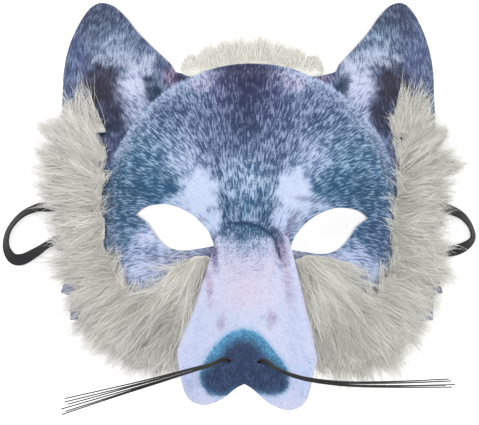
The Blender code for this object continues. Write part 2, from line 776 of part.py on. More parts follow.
def build_fur_cheek(side, outline, snout, strap):
    """Fur cloth on one cheek with its locks, cut clear of the sheet, the snout and the elastic."""
    turn = SIDES[side]
    patch = [Vector((turn * x * FACE_RADIUS, y * FACE_RADIUS, 0)) for x, y in FUR_PATCH[side]]
    ring = [(p.x, p.y) for p in smooth_run(patch + [patch[0]], 0.011)[:-1]]
    fur = moulded("fur_cheek_" + side, ring, [],
                  lambda x, y: Vector((x, y, mould_height(x, y) + CLEARANCE + FUR_BACK)),
                  lambda x, y: Vector((x, y, mould_height(x, y) - SHEET_WALL)), GRID * 1.6)
    for strand in fur_locks(side, random.Random(LOCK_SEEDS[side])):
        fur_boolean(fur, strand, "UNION")
    room = moulded("room", grown_ring(outline, FUR_ROOM), [],
                   lambda x, y: sheet_point(x, y, -FUR_ROOM),
                   lambda x, y: Vector((x, y, -0.05)))
    fur_boolean(fur, room, "DIFFERENCE")
    fur_boolean(fur, swollen(snout, "snout_room", CLEARANCE * 2), "DIFFERENCE")
    fur_boolean(fur, swollen(strap, "strap_room", CLEARANCE * 2), "DIFFERENCE")
    fur_boolean(fur, box("table", (-0.3, -0.3, -0.1), (0.3, 0.3, 0)), "DIFFERENCE")
    drop_chips(fur)
    return fur


def build_fur_crown(shell):
    """Fur strip inside the forehead's top edge, its locks reaching past it."""
    rows = 8
    spread = math.asin(0.44)
    inner, outer = 0.88 * FACE_RADIUS, 0.985 * FACE_RADIUS
    angles = [spread * (2 * k / rows - 1) for k in range(rows + 1)]
    ring = [(inner * math.sin(a), FACE_CENTRE + inner * math.cos(a)) for a in angles]
    ring += [(outer * math.sin(a), FACE_CENTRE + outer * math.cos(a)) for a in reversed(angles)]
    inside = SHEET_WALL + CLEARANCE + FUR_BACK
    fur = moulded("fur_crown", ring, [], lambda x, y: sheet_point(x, y, SHEET_WALL * 0.4),
                  lambda x, y: sheet_point(x, y, inside), GRID * 1.6)
    dice = random.Random(5)
    locks = []
    count = 8
    for k in range(count):
        angle = spread * 1.06 * (2 * (k + 0.5) / count - 1)
        lean = angle * 0.45 + dice.uniform(-0.10, 0.10)
        start = 0.95 * FACE_RADIUS
        reach = (FACE_RADIUS - start) + CROWN_REACH * dice.uniform(0.9, 1.1)
        points = []
        for j in range(4):
            share = j / 3
            x = start * math.sin(angle) + reach * share * math.sin(lean)
            y = FACE_CENTRE + start * math.cos(angle) + reach * share * math.cos(lean)
            base = sheet_point(start * math.sin(angle), FACE_CENTRE + start * math.cos(angle),
                               SHEET_WALL + CLEARANCE + LOCK_THICK * 0.25).z
            points.append(Vector((x, y, base * (1 - 0.80 * share**1.4))))
        locks.append(lock(points, LOCK_WIDTH * 1.05, LOCK_THICK * 0.75))
    for strand in locks:
        fur_boolean(fur, strand, "UNION")
    fur_boolean(fur, swollen(shell, "sheet_room", FUR_ROOM), "DIFFERENCE")
    drop_chips(fur)
    return fur


def strap_height(x, y, height):
    if height == "seat":
        step = 0.0004
        slope = (mould_height(x + step, y) - mould_height(x - step, y)) / (2 * step)
        depth = SHEET_WALL + CLEARANCE * 2 + STRAP_THICK / 2
        return mould_height(x, y) - depth * math.hypot(1, slope)
    return height


def build_strap():
    """Flat elastic: a four-sided section swept along its route, turned as the table says."""
    places = []
    for across, up, height, turn in STRAP_ROUTE:
        x, y = across * MASK_WIDTH / 2, up * FACE_RADIUS
        places.append((x, y, strap_height(x, y, height), math.radians(turn)))
    path = smooth_run([p[:3] for p in places], 0.0045)
    lengths, total = [], 0.0
    for k, point in enumerate(path):
        total += (point - path[k - 1]).length if k else 0.0
        lengths.append(total)
    turns, walked = [], 0
    for x, y, z, turn in places:
        spot = Vector((x, y, z))
        walked = min(range(walked, len(path)), key=lambda k: (path[k] - spot).length)
        turns.append((lengths[walked], turn))
    keep = [0]
    for k in range(1, len(path) - 1):
        bend = (path[k] - path[k - 1]).angle(path[k + 1] - path[k])
        twist = abs(read_table(turns, lengths[k + 1])[0] - read_table(turns, lengths[k - 1])[0])
        if bend + twist > 0.02 or lengths[k] - lengths[keep[-1]] > 0.03:
            keep.append(k)
    keep.append(len(path) - 1)
    verts, faces = [], []
    for k in keep:
        run = (path[min(k + 1, len(path) - 1)] - path[max(k - 1, 0)]).normalized()
        flat = Vector((-run.y, run.x, 0)).normalized()
        up = run.cross(flat)
        turn = read_table(turns, lengths[k])[0]
        across = flat * math.cos(turn) + up * math.sin(turn)
        through = run.cross(across)
        drop = abs(across.z) * STRAP_WIDTH / 2 + abs(through.z) * STRAP_THICK / 2
        centre = Vector(path[k])
        centre.z = max(centre.z, drop)
        for a, b in ((-1, -1), (1, -1), (1, 1), (-1, 1)):
            verts.append(centre + across * a * STRAP_WIDTH / 2 + through * b * STRAP_THICK / 2)
    for k in range(len(keep) - 1):
        for i in range(4):
            n = (i + 1) % 4
            faces.append((k * 4 + i, k * 4 + n, k * 4 + 4 + n, k * 4 + 4 + i))
    last = (len(keep) - 1) * 4
    faces += [(0, 1, 2, 3), (last, last + 1, last + 2, last + 3)]
    return mesh_object("elastic_strap", verts, faces)


def finish(made, sharp):
    """Material, smooth shading and the place under the mask's empty."""
    colour, rough = COLOURS[made.name]
    material = bpy.data.materials.new(made.name)
    material.use_nodes = True
    shader = material.node_tree.nodes["Principled BSDF"]
    shader.inputs["Base Color"].default_value = (*colour, 1)
    shader.inputs["Roughness"].default_value = rough
    shader.inputs["Metallic"].default_value = 0.0
    made.data.materials.clear()
    made.data.materials.append(material)
    made.data.name = made.name
    made.data.shade_smooth()
    made.data.set_sharp_from_angle(angle=math.radians(sharp))


def main():
    clear_scene()
    shell, outline = build_face_shell()
    snout = build_snout()
    strap = build_strap()
    made = [shell, snout, strap]
    made += [build_whiskers(side) for side in SIDES]
    made += [build_fur_cheek(side, outline, snout, strap) for side in SIDES]
    made.append(build_fur_crown(shell))
    mask = bpy.data.objects.new("mask", None)
    bpy.context.scene.collection.objects.link(mask)
    mask.location = PLACE
    for item in made:
        finish(item, 50)
        item.parent = mask


main()
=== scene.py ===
import math

import bmesh
import bpy
import numpy as np
from bpy.props import FloatProperty, FloatVectorProperty, IntProperty, PointerProperty
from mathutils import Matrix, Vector
from mathutils.bvhtree import BVHTree
from mathutils.geometry import delaunay_2d_cdt


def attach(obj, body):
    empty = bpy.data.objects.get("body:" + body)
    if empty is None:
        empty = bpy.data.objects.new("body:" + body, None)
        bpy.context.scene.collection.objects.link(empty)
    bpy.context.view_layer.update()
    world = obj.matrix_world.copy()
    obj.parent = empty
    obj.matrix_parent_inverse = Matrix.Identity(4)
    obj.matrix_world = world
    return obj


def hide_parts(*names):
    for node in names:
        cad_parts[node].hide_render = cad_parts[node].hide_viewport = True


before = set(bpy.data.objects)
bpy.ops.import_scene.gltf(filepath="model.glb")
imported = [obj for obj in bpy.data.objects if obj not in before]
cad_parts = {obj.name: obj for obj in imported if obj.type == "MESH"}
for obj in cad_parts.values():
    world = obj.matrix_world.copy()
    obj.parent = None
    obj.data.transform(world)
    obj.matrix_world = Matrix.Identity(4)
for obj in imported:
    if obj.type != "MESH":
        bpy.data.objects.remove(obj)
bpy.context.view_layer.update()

bl_info = {
    "name": "Wolf mask",
    "version": (1, 0, 0),
    "blender": (4, 5, 0),
    "location": "3D View > Sidebar > Mask",
    "description": "Dresses the wolf mask's frame in printed plush, fur, bristles and elastic",
    "category": "Object",
}

MM = 0.001

# Sizes shared with the solids, in metres
MASK_WIDTH = 0.194
FACE_RADIUS = 0.0755
FACE_CENTRE = 0.009
EAR_BASE = 0.081
EAR_HEIGHT = 0.0355
EAR_WIDTHS = {"left": 0.058, "right": 0.051}
EAR_ROOTS = {"left": 0.039, "right": 0.0425}
RIM_HEIGHT = 0.007
ARCH_HEIGHT = 0.036
ARCH_POWER = 1.6
STEP_HEIGHT = 0.007
STEP_RUN = 0.008
DOME_RISE = 0.006
DENT_DEPTH = 0.003
EAR_DROP = 0.0070
EYE_WIDTH = 0.0395
EYE_HEIGHT = 0.0229
EYE_INNER = 0.0190
EYE_SET = {"left": 0.0006, "right": -0.0012}
FLANGE = 0.0055
CLEARANCE = 0.0003
SNOUT_WIDTH = 0.0685
SNOUT_REACH = 0.043
SNOUT_TOP = 0.0055
SNOUT_TOP_DROP = 0.0085
SNOUT_LENGTH = 0.0907
SNOUT_POWER = 2.4
SNOUT_LEAN = 0.0042
SNOUT_SKEW = 0.06
SNOUT_SEAM = 0.0008
SEAT_END = -0.048
WHISKER_HOLE = 0.0026
WHISKER_ROOT = (0.175, 0.800)
WHISKER_APART = 0.00062
WHISKER_LENGTHS = {"left": 0.0815, "right": 0.0940}
FUR_BACK = 0.0022
FUR_DROOP = 0.90
STRAP_WIDTH = 0.006
STRAP_THICK = 0.001
PLACE = Vector((0.0064, -0.0137, 0.0))
SIDES = {"left": -1, "right": 1}

# Arch across the face: height up the face, crown height, half span
ARCH_SECTIONS = (
    (-1.20, 0.74, 1.03),
    (-0.80, 0.80, 1.03),
    (-0.40, 0.93, 1.02),
    (0.10, 1.00, 1.02),
    (0.60, 1.00, 1.03),
    (1.10, 0.96, 1.04),
    (1.60, 0.86, 1.06),
)

# Dents and bulges: x, y, depth, x radius, y radius
DENTS = (
    (0.00, 0.02, 0.90, 0.13, 0.35),
    (0.38, 0.30, 0.75, 0.26, 0.16),
    (0.52, -0.02, -0.70, 0.30, 0.17),
    (0.80, -0.30, 0.60, 0.22, 0.20),
    (0.00, 0.62, -0.35, 0.10, 0.40),
    (0.95, 1.12, -0.85, 0.16, 0.22),
)

# Ear outline from its inner root round the tip: share across, share up
EAR_EDGE = (
    (0.00, 0.00), (0.03, 0.09), (0.11, 0.22), (0.22, 0.39), (0.335, 0.585), (0.42, 0.765),
    (0.52, 0.925), (0.60, 0.990), (0.67, 1.000), (0.74, 0.945), (0.805, 0.83), (0.87, 0.66),
    (0.925, 0.47), (0.97, 0.24), (0.995, 0.00),
)

# Side, ruff points and jaw: share of half width, share of face radius, corner or not
SIDE_EDGE = (
    (1.000, 0.84, 0), (0.990, 0.55, 0), (0.975, 0.25, 0), (0.965, -0.05, 0), (0.972, -0.26, 0),
    (1.010, -0.415, 1), (0.955, -0.435, 1), (0.957, -0.600, 1), (0.890, -0.600, 1),
    (0.800, -0.720, 0), (0.660, -0.810, 0), (0.500, -0.830, 0), (0.370, -0.790, 0),
)

# Eye hole: share across from the inner corner, share up from the lowest point
EYE_UPPER = ((0.00, 0.09), (0.02, 0.21), (0.065, 0.385), (0.17, 0.615), (0.29, 0.785),
             (0.45, 0.93), (0.61, 1.00), (0.80, 0.97), (0.92, 0.89), (1.00, 0.77))
EYE_LOWER = ((1.00, 0.77), (0.93, 0.69), (0.86, 0.60), (0.80, 0.455), (0.73, 0.285),
             (0.66, 0.155), (0.58, 0.06), (0.46, 0.0), (0.33, 0.0), (0.18, 0.04), (0.00, 0.09))

# Snout sections: share along, half width, ridge rise, edge rise
SNOUT_SECTIONS = (
    (0.00, 0.53, 0.00, 0.00),
    (0.10, 0.58, 0.02, 0.00),
    (0.20, 0.63, 0.10, 0.01),
    (0.38, 0.72, 0.40, 0.06),
    (0.55, 0.80, 0.66, 0.18),
    (0.70, 0.89, 0.86, 0.34),
    (0.85, 0.97, 0.99, 0.50),
    (0.93, 1.00, 1.00, 0.56),
    (1.00, 0.97, 0.92, 0.58),
)

# Free end of the snout: share across, share along its length
SNOUT_END = (
    (0.00, 0.870), (0.12, 0.895), (0.31, 0.955), (0.49, 0.990), (0.66, 1.000), (0.83, 0.975),
    (0.93, 0.915), (1.00, 0.780),
)

# Inner edge of the fur from the ear's foot to the snout: share of face radius across and up
FUR_EDGE = {
    "left": ((1.06, 0.86), (1.02, 0.52), (1.02, 0.16), (0.93, 0.00), (0.90, -0.24), (0.82, -0.38),
             (0.70, -0.41), (0.53, -0.26)),
    "right": ((1.02, 0.86), (0.99, 0.52), (0.95, 0.20), (0.94, -0.05), (0.90, -0.30), (0.82, -0.46),
              (0.66, -0.42), (0.57, -0.24), (0.50, -0.15)),
}

# Reach of the fur round the face: degrees from straight down, left tips, right tips
FUR_REACH = (
    (22, 1.17, 1.13), (32, 1.26, 1.30), (40, 1.39, 1.46), (50, 1.40, 1.43), (58, 1.44, 1.40),
    (67, 1.33, 1.33), (75, 1.41, 1.41), (84, 1.34, 1.37), (92, 1.44, 1.36), (105, 1.55, 1.52),
    (118, 1.63, 1.45), (130, 1.54, 1.42),
)

# Left fur beside the ear: height, its nearest and farthest reach from the middle, in mm
EAR_FUR = ((30, 71, 140), (40, 72, 140), (56, 74.5, 140), (63, 79, 104), (68, 81, 96),
           (73, 82.5, 91), (80, 84.5, 89), (84, 86, 88))
EAR_FOOT = 38 * MM
COAT_SHOULDER = 42 * MM
COAT_TOP = 50 * MM

# Ruff points of the sheet that show past the fur: x, y, room round each, in metres
RUFF_POINTS = {
    "left": ((0.0955, -0.0300, 0.0030), (0.0915, -0.0440, 0.0032)),
    "right": ((0.0965, -0.0300, 0.0018),),
}

# Elastic: share of half width, share of face radius, height or seat, turn about its run
STRAP_ROUTE = (
    (-0.780, 0.165, "seat", 0), (-0.840, 0.165, "seat", 0), (-0.900, 0.166, 0.0080, 0),
    (-0.960, 0.167, 0.0036, 2), (-1.015, 0.168, 0.0014, 12), (-1.075, 0.167, 0.0019, 32),
    (-1.140, 0.160, 0.0027, 50), (-1.220, 0.110, 0.0032, 62), (-1.285, 0.010, 0.0033, 66),
    (-1.300, -0.100, 0.0030, 55), (-1.268, -0.180, 0.0021, 25), (-1.215, -0.190, 0.0014, -12),
    (-1.140, -0.140, 0.0022, -40), (-1.075, -0.085, 0.0028, -55), (-1.010, -0.060, 0.0016, -25),
    (-0.930, -0.105, 0.0005, 0), (-0.800, -0.230, 0.0005, 0), (0.000, -0.330, 0.0005, 0),
    (0.800, -0.270, 0.0005, 0), (0.930, -0.170, 0.0005, 0), (1.000, -0.140, 0.0009, 6),
    (1.070, -0.130, 0.0014, 15), (1.130, -0.100, 0.0022, 38), (1.170, -0.045, 0.0031, 62),
    (1.160, 0.030, 0.0032, 66), (1.120, 0.100, 0.0030, 55), (1.065, 0.140, 0.0024, 38),
    (1.010, 0.155, 0.0014, 14), (0.960, 0.158, 0.0036, 2), (0.900, 0.158, 0.0080, 0),
    (0.840, 0.158, "seat", 0), (0.780, 0.158, "seat", 0),
)

# Whiskers past the nose: share of length out, share of length down, fall in metres
WHISKER_SWEEP = {
    "left": ((0.10, 0.022, 0.000), (0.24, 0.062, 0.001), (0.45, 0.125, 0.004),
             (0.72, 0.203, 0.010), (1.00, 0.285, 0.018)),
    "right": ((0.10, 0.042, 0.000), (0.24, 0.088, 0.001), (0.45, 0.115, 0.004),
              (0.72, 0.121, 0.010), (1.00, 0.119, 0.018)),
}

# Each bristle: degrees round the bundle, share of length, share of the fan, rise of its tip
WHISKER_TIPS = (
    (-90, 1.00, -1.00, 0.0012), (-150, 0.975, -0.70, -0.0022), (-30, 1.01, -0.25, 0.0022),
    (150, 0.96, 0.20, -0.0026), (30, 0.99, 0.62, 0.0020), (90, 0.985, 1.00, -0.0008),
)
WHISKER_FANS = {"left": 0.0032, "right": 0.0013}

# Middle of the print, in millimetres from the mask's
PRINT_MIDDLE = -2.6

# Marks in the order that they are laid on, printed unless a row says otherwise, in millimetres from
# the print's middle:
# side, x, y, half width, half height, turn in degrees, softness, light, dark, dark share, strength
FACE_MARKS = (
    ("both", 48, 42, 30, 34, 0, 0.6, "#a9bcd9", "#3d597c", 0.58, 0.9),
    ("both", 0, 52, 34, 40, 0, 0.7, "#97a5c8", "#3c4b70", 0.62, 0.9),
    ("both", 0, 60, 26, 22, 0, 0.9, "#8c98bd", "#394464", 0.66, 0.7),
    ("both", 46, 66, 17, 8, -38, 0.8, "#9dadd0", "#3f5076", 0.62, 0.8),
    ("both", 36, 58, 12, 9, -30, 0.8, "#96a6ca", "#35466a", 0.66, 0.6),
    ("both", 52, 30, 22, 18, 8, 0.7, "#8fb0ce", "#325777", 0.66, 0.9),
    ("both", 47, 20.5, 15, 6.5, 6, 0.6, "#7c9fc0", "#2b4f70", 0.74, 0.9),
    ("both", 62, 16, 11, 14, 0, 0.7, "#7d9ab8", "#2b4a66", 0.70, 0.85),
    ("both", 32, 36, 11, 9, 30, 0.8, "#c3cfea", "#647ba6", 0.42, 0.75),
    ("both", 24, 49, 8, 6, 20, 0.9, "#a9b4d4", "#4c5a80", 0.52, 0.5),
    ("both", 23, 76, 8, 6, -14, 0.7, "#c3bfd9", "#6d6a90", 0.42, 0.8),
    ("both", 12, 72, 6, 13, 8, 0.9, "#8a8cb0", "#3a3c60", 0.68, 0.7),
    ("both", 0, 80, 14, 8, 0, 0.8, "#615f80", "#2c2943", 0.82, 0.9),
    ("both", 0, 68, 9, 15, 0, 0.8, "#666c90", "#30334f", 0.80, 0.85),
    ("both", 0, 52, 7, 14, 0, 0.9, "#6f7d9f", "#303c58", 0.78, 0.8),
    ("both", 0, 36, 15, 12, 0, 0.9, "#a3b4d0", "#40557a", 0.60, 0.7),
    ("both", 0, 22, 16, 15, 0, 0.6, "#b0c5df", "#365a7e", 0.57, 0.95),
    ("both", 0, 25, 4, 6, 0, 0.9, "#c3d3ea", "#5778a0", 0.44, 0.6),
    ("both", 10, 8, 5, 10, 12, 0.8, "#86a0c0", "#2a4766", 0.74, 0.85),
    ("both", 0, 12, 3.5, 8, 0, 0.9, "#86a6c4", "#32597c", 0.66, 0.6),
    ("both", 24, 19, 9.0, 12.5, 8, 0.4, "#c7d3ed", "#aebee2", 0.12, 1.0),
    ("both", 17.5, 5, 4.5, 8, 24, 0.6, "#c5d2ee", "#8fa3ca", 0.20, 0.9),
    ("both", 34, 15, 8, 3.6, -12, 0.7, "#c0cee8", "#7f9cc2", 0.24, 0.8),
    ("both", 60, 2, 9, 11, 0, 0.7, "#8ba6c4", "#2f5270", 0.66, 0.9),
    ("right", 66, -4, 8, 12, 0, 0.7, "#7f95ba", "#33496a", 0.76, 0.85),
    ("left", 51, -3, 7, 5, -30, 0.7, "#c8cfeb", "#8494be", 0.24, 0.95),
    ("both", 54, -13, 10, 7, 0, 0.8, "#b4bfe0", "#566f99", 0.50, 0.85),
    ("both", 45, -17, 12, 6, 0, 0.8, "#c6d0ec", "#8298bd", 0.28, 0.9),
    ("left", 42, -6, 5, 4, 0, 0.9, "#c6d2ea", "#8fa6c6", 0.24, 0.8),
    ("left", 47, -13.5, 4, 2, -14, 0.9, "#6d80a4", "#3a4a6c", 0.66, 0.8),
    ("both", 58, -22, 12, 8, 0, 0.8, "#c0c8e6", "#71839f", 0.34, 0.85),
    ("both", 30, -16, 16, 7, 0, 0.9, "#b4b2c2", "#6c6f86", 0.40, 0.8),
    ("right", 22, 4, 2.0, 9, -30, 0.7, "#837d9f", "#534c70", 0.62, 0.7),
    ("right", 33, 16.0, 9, 1.5, -8, 0.8, "#75789f", "#4a4d75", 0.60, 0.6),
    ("right", 17, -9, 5, 9, 0, 0.8, "#a89cbd", "#5d4d6e", 0.58, 0.85),
    ("left", 16, -10, 4, 9, 0, 0.8, "#8d8aad", "#46405e", 0.62, 0.85),
    ("both", 96, -40, 13, 15, 0, 0.4, "#a9abbb", "#6d7187", 0.45, 1.0),
)

# The same table for the ears, outside the forehead's circle
EAR_MARKS = (
    ("both", 70, 90, 40, 45, 0, 0.4, "#8290ae", "#434f6c", 0.60, 1.0),
    ("both", 74, 109, 13, 12, 20, 0.7, "#77839e", "#3b4359", 0.68, 0.9),
    ("both", 66, 97, 13, 8, 28, 0.8, "#8fa5c0", "#486078", 0.56, 0.8),
    ("both", 86, 86, 5, 18, -8, 0.8, "#7d89ae", "#48527a", 0.58, 0.85),
    ("both", 62, 90, 13, 4.5, 14, 0.8, "#b7c4de", "#65789a", 0.42, 0.75),
    ("both", 74, 73, 10.5, 13, 6, 0.6, "#56566e", "#34323f", 0.72, 1.0),
    ("both", 67, 58, 7, 13, 12, 0.7, "#52566e", "#323346", 0.74, 0.95),
    ("both", 58, 49, 8, 6, 35, 0.7, "#50607e", "#2c394f", 0.76, 0.95),
    ("both", 70, 40, 5, 12, 22, 0.8, "#6e769c", "#414866", 0.60, 0.9),
    ("both", 57, 74, 8.5, 11, 10, 0.7, "#cdd3ec", "#8e98bd", 0.26, 1.0),
    ("both", 56, 60, 6.5, 10, -6, 0.7, "#bfc6e2", "#6a7798", 0.44, 0.9),
    ("both", 46, 68, 4.0, 13, -24, 0.6, "#4c6078", "#2c3a4e", 0.76, 1.0),
    ("both", 37.5, 78, 5.0, 6, 0, 0.8, "#a896b4", "#584a66", 0.58, 0.9),
    # Next row: painted shade in the notch where the ear meets the forehead's raised edge
    ("both", 31, 76.5, 5, 2.6, 12, 0.7, "#52506c", "#302f45", 0.78, 0.95),
    ("both", 50, 86, 6, 3, -40, 0.8, "#c9cee6", "#8c97b6", 0.34, 0.7),
)

# Pale lines printed across each ear: x and y where it starts, peaks and ends, half width, strength
EAR_LINES = (
    (78.5, 87.5, 69.0, 92.5, 59.0, 88.5, 1.6, 0.55),
    (72.0, 85.0, 62.0, 88.5, 49.0, 81.0, 2.2, 0.60),
    (71.5, 96.0, 68.0, 100.5, 61.0, 98.0, 1.4, 0.35),
)

# Marks on the snout, as in the face's table
SNOUT_MARKS = (
    ("both", 0, -24, 14, 26, 0, 0.9, "#d0c9de", "#b9b0cf", 0.24, 0.8),
    ("both", 24, -52, 9, 22, 0, 0.9, "#c2cce9", "#a2b0d6", 0.22, 0.8),
    ("both", 0, -43, 24, 5, 0, 0.9, "#c3cfe8", "#a0b2d6", 0.24, 0.7),
    ("both", 0, -12, 14, 9, 0, 0.9, "#c6c6de", "#868bae", 0.36, 0.75),
    ("both", 0, -4, 17, 8, 0, 0.8, "#b3c0dc", "#526c90", 0.52, 0.9),
    ("both", 0, 3, 22, 7, 0, 0.6, "#93a9c6", "#2f5070", 0.70, 1.0),
    # Next four rows: pinkish print down the snout's sides, darkened with painted shade where they turn
    # away from the light
    ("left", 17.0, -8, 2.6, 12, -8, 0.7, "#8f8aad", "#4c4563", 0.60, 0.9),
    ("left", 19, -24, 2.2, 14, -8, 0.9, "#c0a9c0", "#7d6488", 0.45, 0.6),
    ("right", 17, -8, 3.6, 11, 10, 0.8, "#a79fbd", "#655a78", 0.58, 0.9),
    ("right", 20, -24, 2.8, 15, 8, 0.9, "#bdb2cf", "#857698", 0.40, 0.6),
    ("right", 14, -1, 6, 3, -38, 0.8, "#6a7f9f", "#2c4160", 0.72, 0.8),
    ("left", 12.5, -44, 2.4, 5, 10, 0.9, "#b3a9c6", "#776f96", 0.36, 0.7),
    ("right", 12, -42, 2.6, 5, -10, 0.9, "#b3a3c2", "#776a92", 0.38, 0.7),
    ("both", 0, -80, 22, 5, 0, 0.9, "#c2cff0", "#93a6d4", 0.24, 0.7),
    ("both", 28, -72, 7, 10, 0, 0.9, "#bccaf0", "#8fa3d4", 0.24, 0.7),
)

# Painted shadow in the seam at the snout's top, under the brow's overhanging edge: x and y along it
CREASE_SHADOW_PATH = ((-9.5, 4.6), (-5.0, 4.4), (-0.5, 4.3), (6.7, 2.4), (13.2, -2.8), (16.4, -12.0))

# Nose pad's outline on one side: x from its middle, y, in millimetres
NOSE_LEFT = ((0.0, -46.5), (-8.0, -48.8), (-15.5, -56.0), (-21.3, -66.0), (-21.6, -72.5),
             (-17.5, -78.4), (-9.5, -79.2), (-4.5, -77.0), (0.0, -75.8))
NOSE_RIGHT = ((0.0, -46.5), (7.0, -49.2), (14.0, -57.0), (20.3, -65.5), (21.6, -71.0),
              (20.4, -76.5), (14.5, -79.0), (7.5, -78.2), (0.0, -75.8))
NOSE_MIDDLE = -3.6

# Inks used outside the tables; the first is the painted shadow's colour in the seam at the snout's top
CREASE_SHADOW_COLOUR = "#2b3a56"
RIM_INKS = ("#bcc9e4", "#6f86ae")
EAR_LINE_INK = "#c6d0e6"
NOSE_HALO = "#9fb9d8"
SNOUT_STREAK = "#b4bcdf"

# Studio: lamp's name, where it stands, its size in metres and its power in watts
LAMPS = (("key", (-0.5, 0.9, 1.7), 1.3, 18), ("fill", (0.9, -0.7, 1.5), 1.5, 11))
SKY_LIGHT = 0.58
FLOOR_GLOW = 0.43
# The photograph shows this width at this distance from the camera, its middle off the mask's
PHOTO_WIDTH = 0.2395
PHOTO_DISTANCE = 1.555
CAMERA_SPOT = Vector((-0.00625, 0.00975, 1.6))
SENSOR_WIDTH = 36
SMOOTH_ANGLE = math.radians(50)

# Layers of a cheek's fur: share of the hairs, points along one, least and most that it stands up
FUR_LAYERS = (
    ("under", 1.05, 5, (0.3 * MM, 2.0 * MM)),
    ("over", 1.0, 6, (0.8 * MM, 4.5 * MM)),
    ("hem", 0.16, 5, (0.8 * MM, 2.5 * MM)),
)

# How far the coat's inner edge is drawn out beside each ear, and the share its top keeps
DRAWN_OUT = {"left": (9 * MM, 0.6), "right": (3 * MM, 1)}
CROWN_REACH = 88.5 * MM

# Fur: tufts in a layer and along the hem, strays, and how deep a root goes into the ground
TUFTS = 300
HEM_TUFTS = 60
HEM_BAND = 4.5 * MM
HEM_LENGTH = 9 * MM
STRAY_SHARE = 0.10
LOOSE_SHARE = 0.05
ROOT_DEPTH = 0.5 * MM


def hex_linear(code):
    """Linear colour of an sRGB hex value."""
    parts = [int(code[i : i + 2], 16) / 255 for i in (1, 3, 5)]
    return tuple(c / 12.92 if c <= 0.04045 else ((c + 0.055) / 1.055) ** 2.4 for c in parts)


def length(name, description, default):
    return FloatProperty(name=name, description=description, default=default,
                         subtype="DISTANCE", unit="LENGTH")


def tint(name, description, code):
    return FloatVectorProperty(name=name, description=description, default=hex_linear(code),
                               subtype="COLOR", min=0, max=1)


class MaskSizes(bpy.types.PropertyGroup):
    """Sizes that a user would change"""

    sheet_wall: length("Sheet wall", "Thickness of the moulded sheet", 2.5 * MM)
    mesh_pitch: length("Mesh pitch", "Spacing of the sheet's points", 1.25 * MM)
    streak_width: length("Streak width", "Width of one printed hair", 0.44 * MM)
    hair_width: length("Hair width", "Width of a drawn wisp of hairs at its root", 0.26 * MM)
    hair_length: length("Hair length", "Length of the long pile", 27 * MM)
    cheek_hairs: IntProperty(
        name="Cheek hairs", description="Wisps in each layer of a cheek's fur", default=6700)
    crown_hairs: IntProperty(
        name="Crown hairs", description="Wisps in the crown's fur", default=4200)
    bristle_width: length("Bristle width", "Thickness of a whisker bristle", 0.78 * MM)


class MaskColours(bpy.types.PropertyGroup):
    """Colours that a user would change"""

    plush_light: tint("Plush, light", "Ground of the printed plush", "#a7b6d4")
    plush_dark: tint("Plush, dark", "Printed hairs", "#425e7e")
    snout_light: tint("Snout", "Ground of the snout's plush", "#cfd2ea")
    nose_dark: tint("Nose", "Printed nose pad", "#334160")
    nose_teal: tint("Nose, upper edge", "Glow along the nose pad's top", "#528fb6")
    foam_edge: tint("Cut edge", "Cut edge of the foam sheet", "#dfdde6")
    foam_back: tint("Back", "Knitted backing of the sheet", "#e9e8ea")
    fur_left_tip: tint("Left fur, tips", "Tips of the left cheek's hairs", "#fffefa")
    fur_left_root: tint("Left fur, roots", "Roots of the left cheek's hairs", "#e0dcd4")
    fur_right_tip: tint("Right fur, tips", "Tips of the right cheek's hairs", "#fafaf4")
    fur_right_root: tint("Right fur, roots", "Roots of the right cheek's hairs", "#d6d4cb")
    crown_tip: tint("Crown fur, tips", "Tips of the crown's hairs", "#fffdf6")
    crown_root: tint("Crown fur, roots", "Roots of the crown's hairs", "#fffdf4")
    bristle: tint("Bristle", "Whisker bristles", "#131212")
    elastic: tint("Elastic", "Woven elastic", "#1c1c1f")
    floor: tint("Floor", "Pale floor", "#f7f7f7")


def sizes():
    return bpy.context.scene.mask_sizes


def colours():
    return bpy.context.scene.mask_colours


def ease(start, end, value):
    """0 before the start, 1 past the end and a smooth rise between them."""
    share = np.clip((np.asarray(value, float) - start) / (end - start), 0.0, 1.0)
    return share * share * (3 - 2 * share)


def read_table(rows, at):
    """Columns of a table at values of its first column, smooth through the rows."""
    rows = np.array(rows, float)
    at = np.clip(np.asarray(at, float), rows[0, 0], rows[-1, 0])
    count = len(rows)
    spot = np.clip(np.searchsorted(rows[:, 0], at, side="right") - 1, 0, count - 2)
    low, high = rows[spot], rows[spot + 1]
    before, after = rows[np.maximum(spot - 1, 0)], rows[np.minimum(spot + 2, count - 1)]
    run = high[..., 0] - low[..., 0]
    t = (at - low[..., 0]) / run
    found = []
    for column in range(1, rows.shape[1]):
        slope_in = (high[..., column] - before[..., column]) / (high[..., 0] - before[..., 0]) * run
        slope_out = (after[..., column] - low[..., column]) / (after[..., 0] - low[..., 0]) * run
        found.append(
            low[..., column] * (2 * t**3 - 3 * t**2 + 1)
            + slope_in * (t**3 - 2 * t**2 + t)
            + high[..., column] * (3 * t**2 - 2 * t**3)
            + slope_out * (t**3 - t**2)
        )
    return found


def smooth_run(points, step):
    """Points along a smooth curve through the given ones, about one step apart."""
    points = [Vector(p) for p in points]
    ends = [points[0] * 2 - points[1]] + points + [points[-1] * 2 - points[-2]]
    fine = []
    for i in range(1, len(ends) - 2):
        a, b, c, d = ends[i - 1 : i + 3]
        pieces = max(1, round((c - b).length / step))
        for k in range(pieces):
            t = k / pieces
            fine.append(
                (b * 2 + (c - a) * t + (a * 2 - b * 5 + c * 4 - d) * t**2
                 + (b * 3 - a - c * 3 + d) * t**3) * 0.5
            )
    fine.append(points[-1])
    return fine


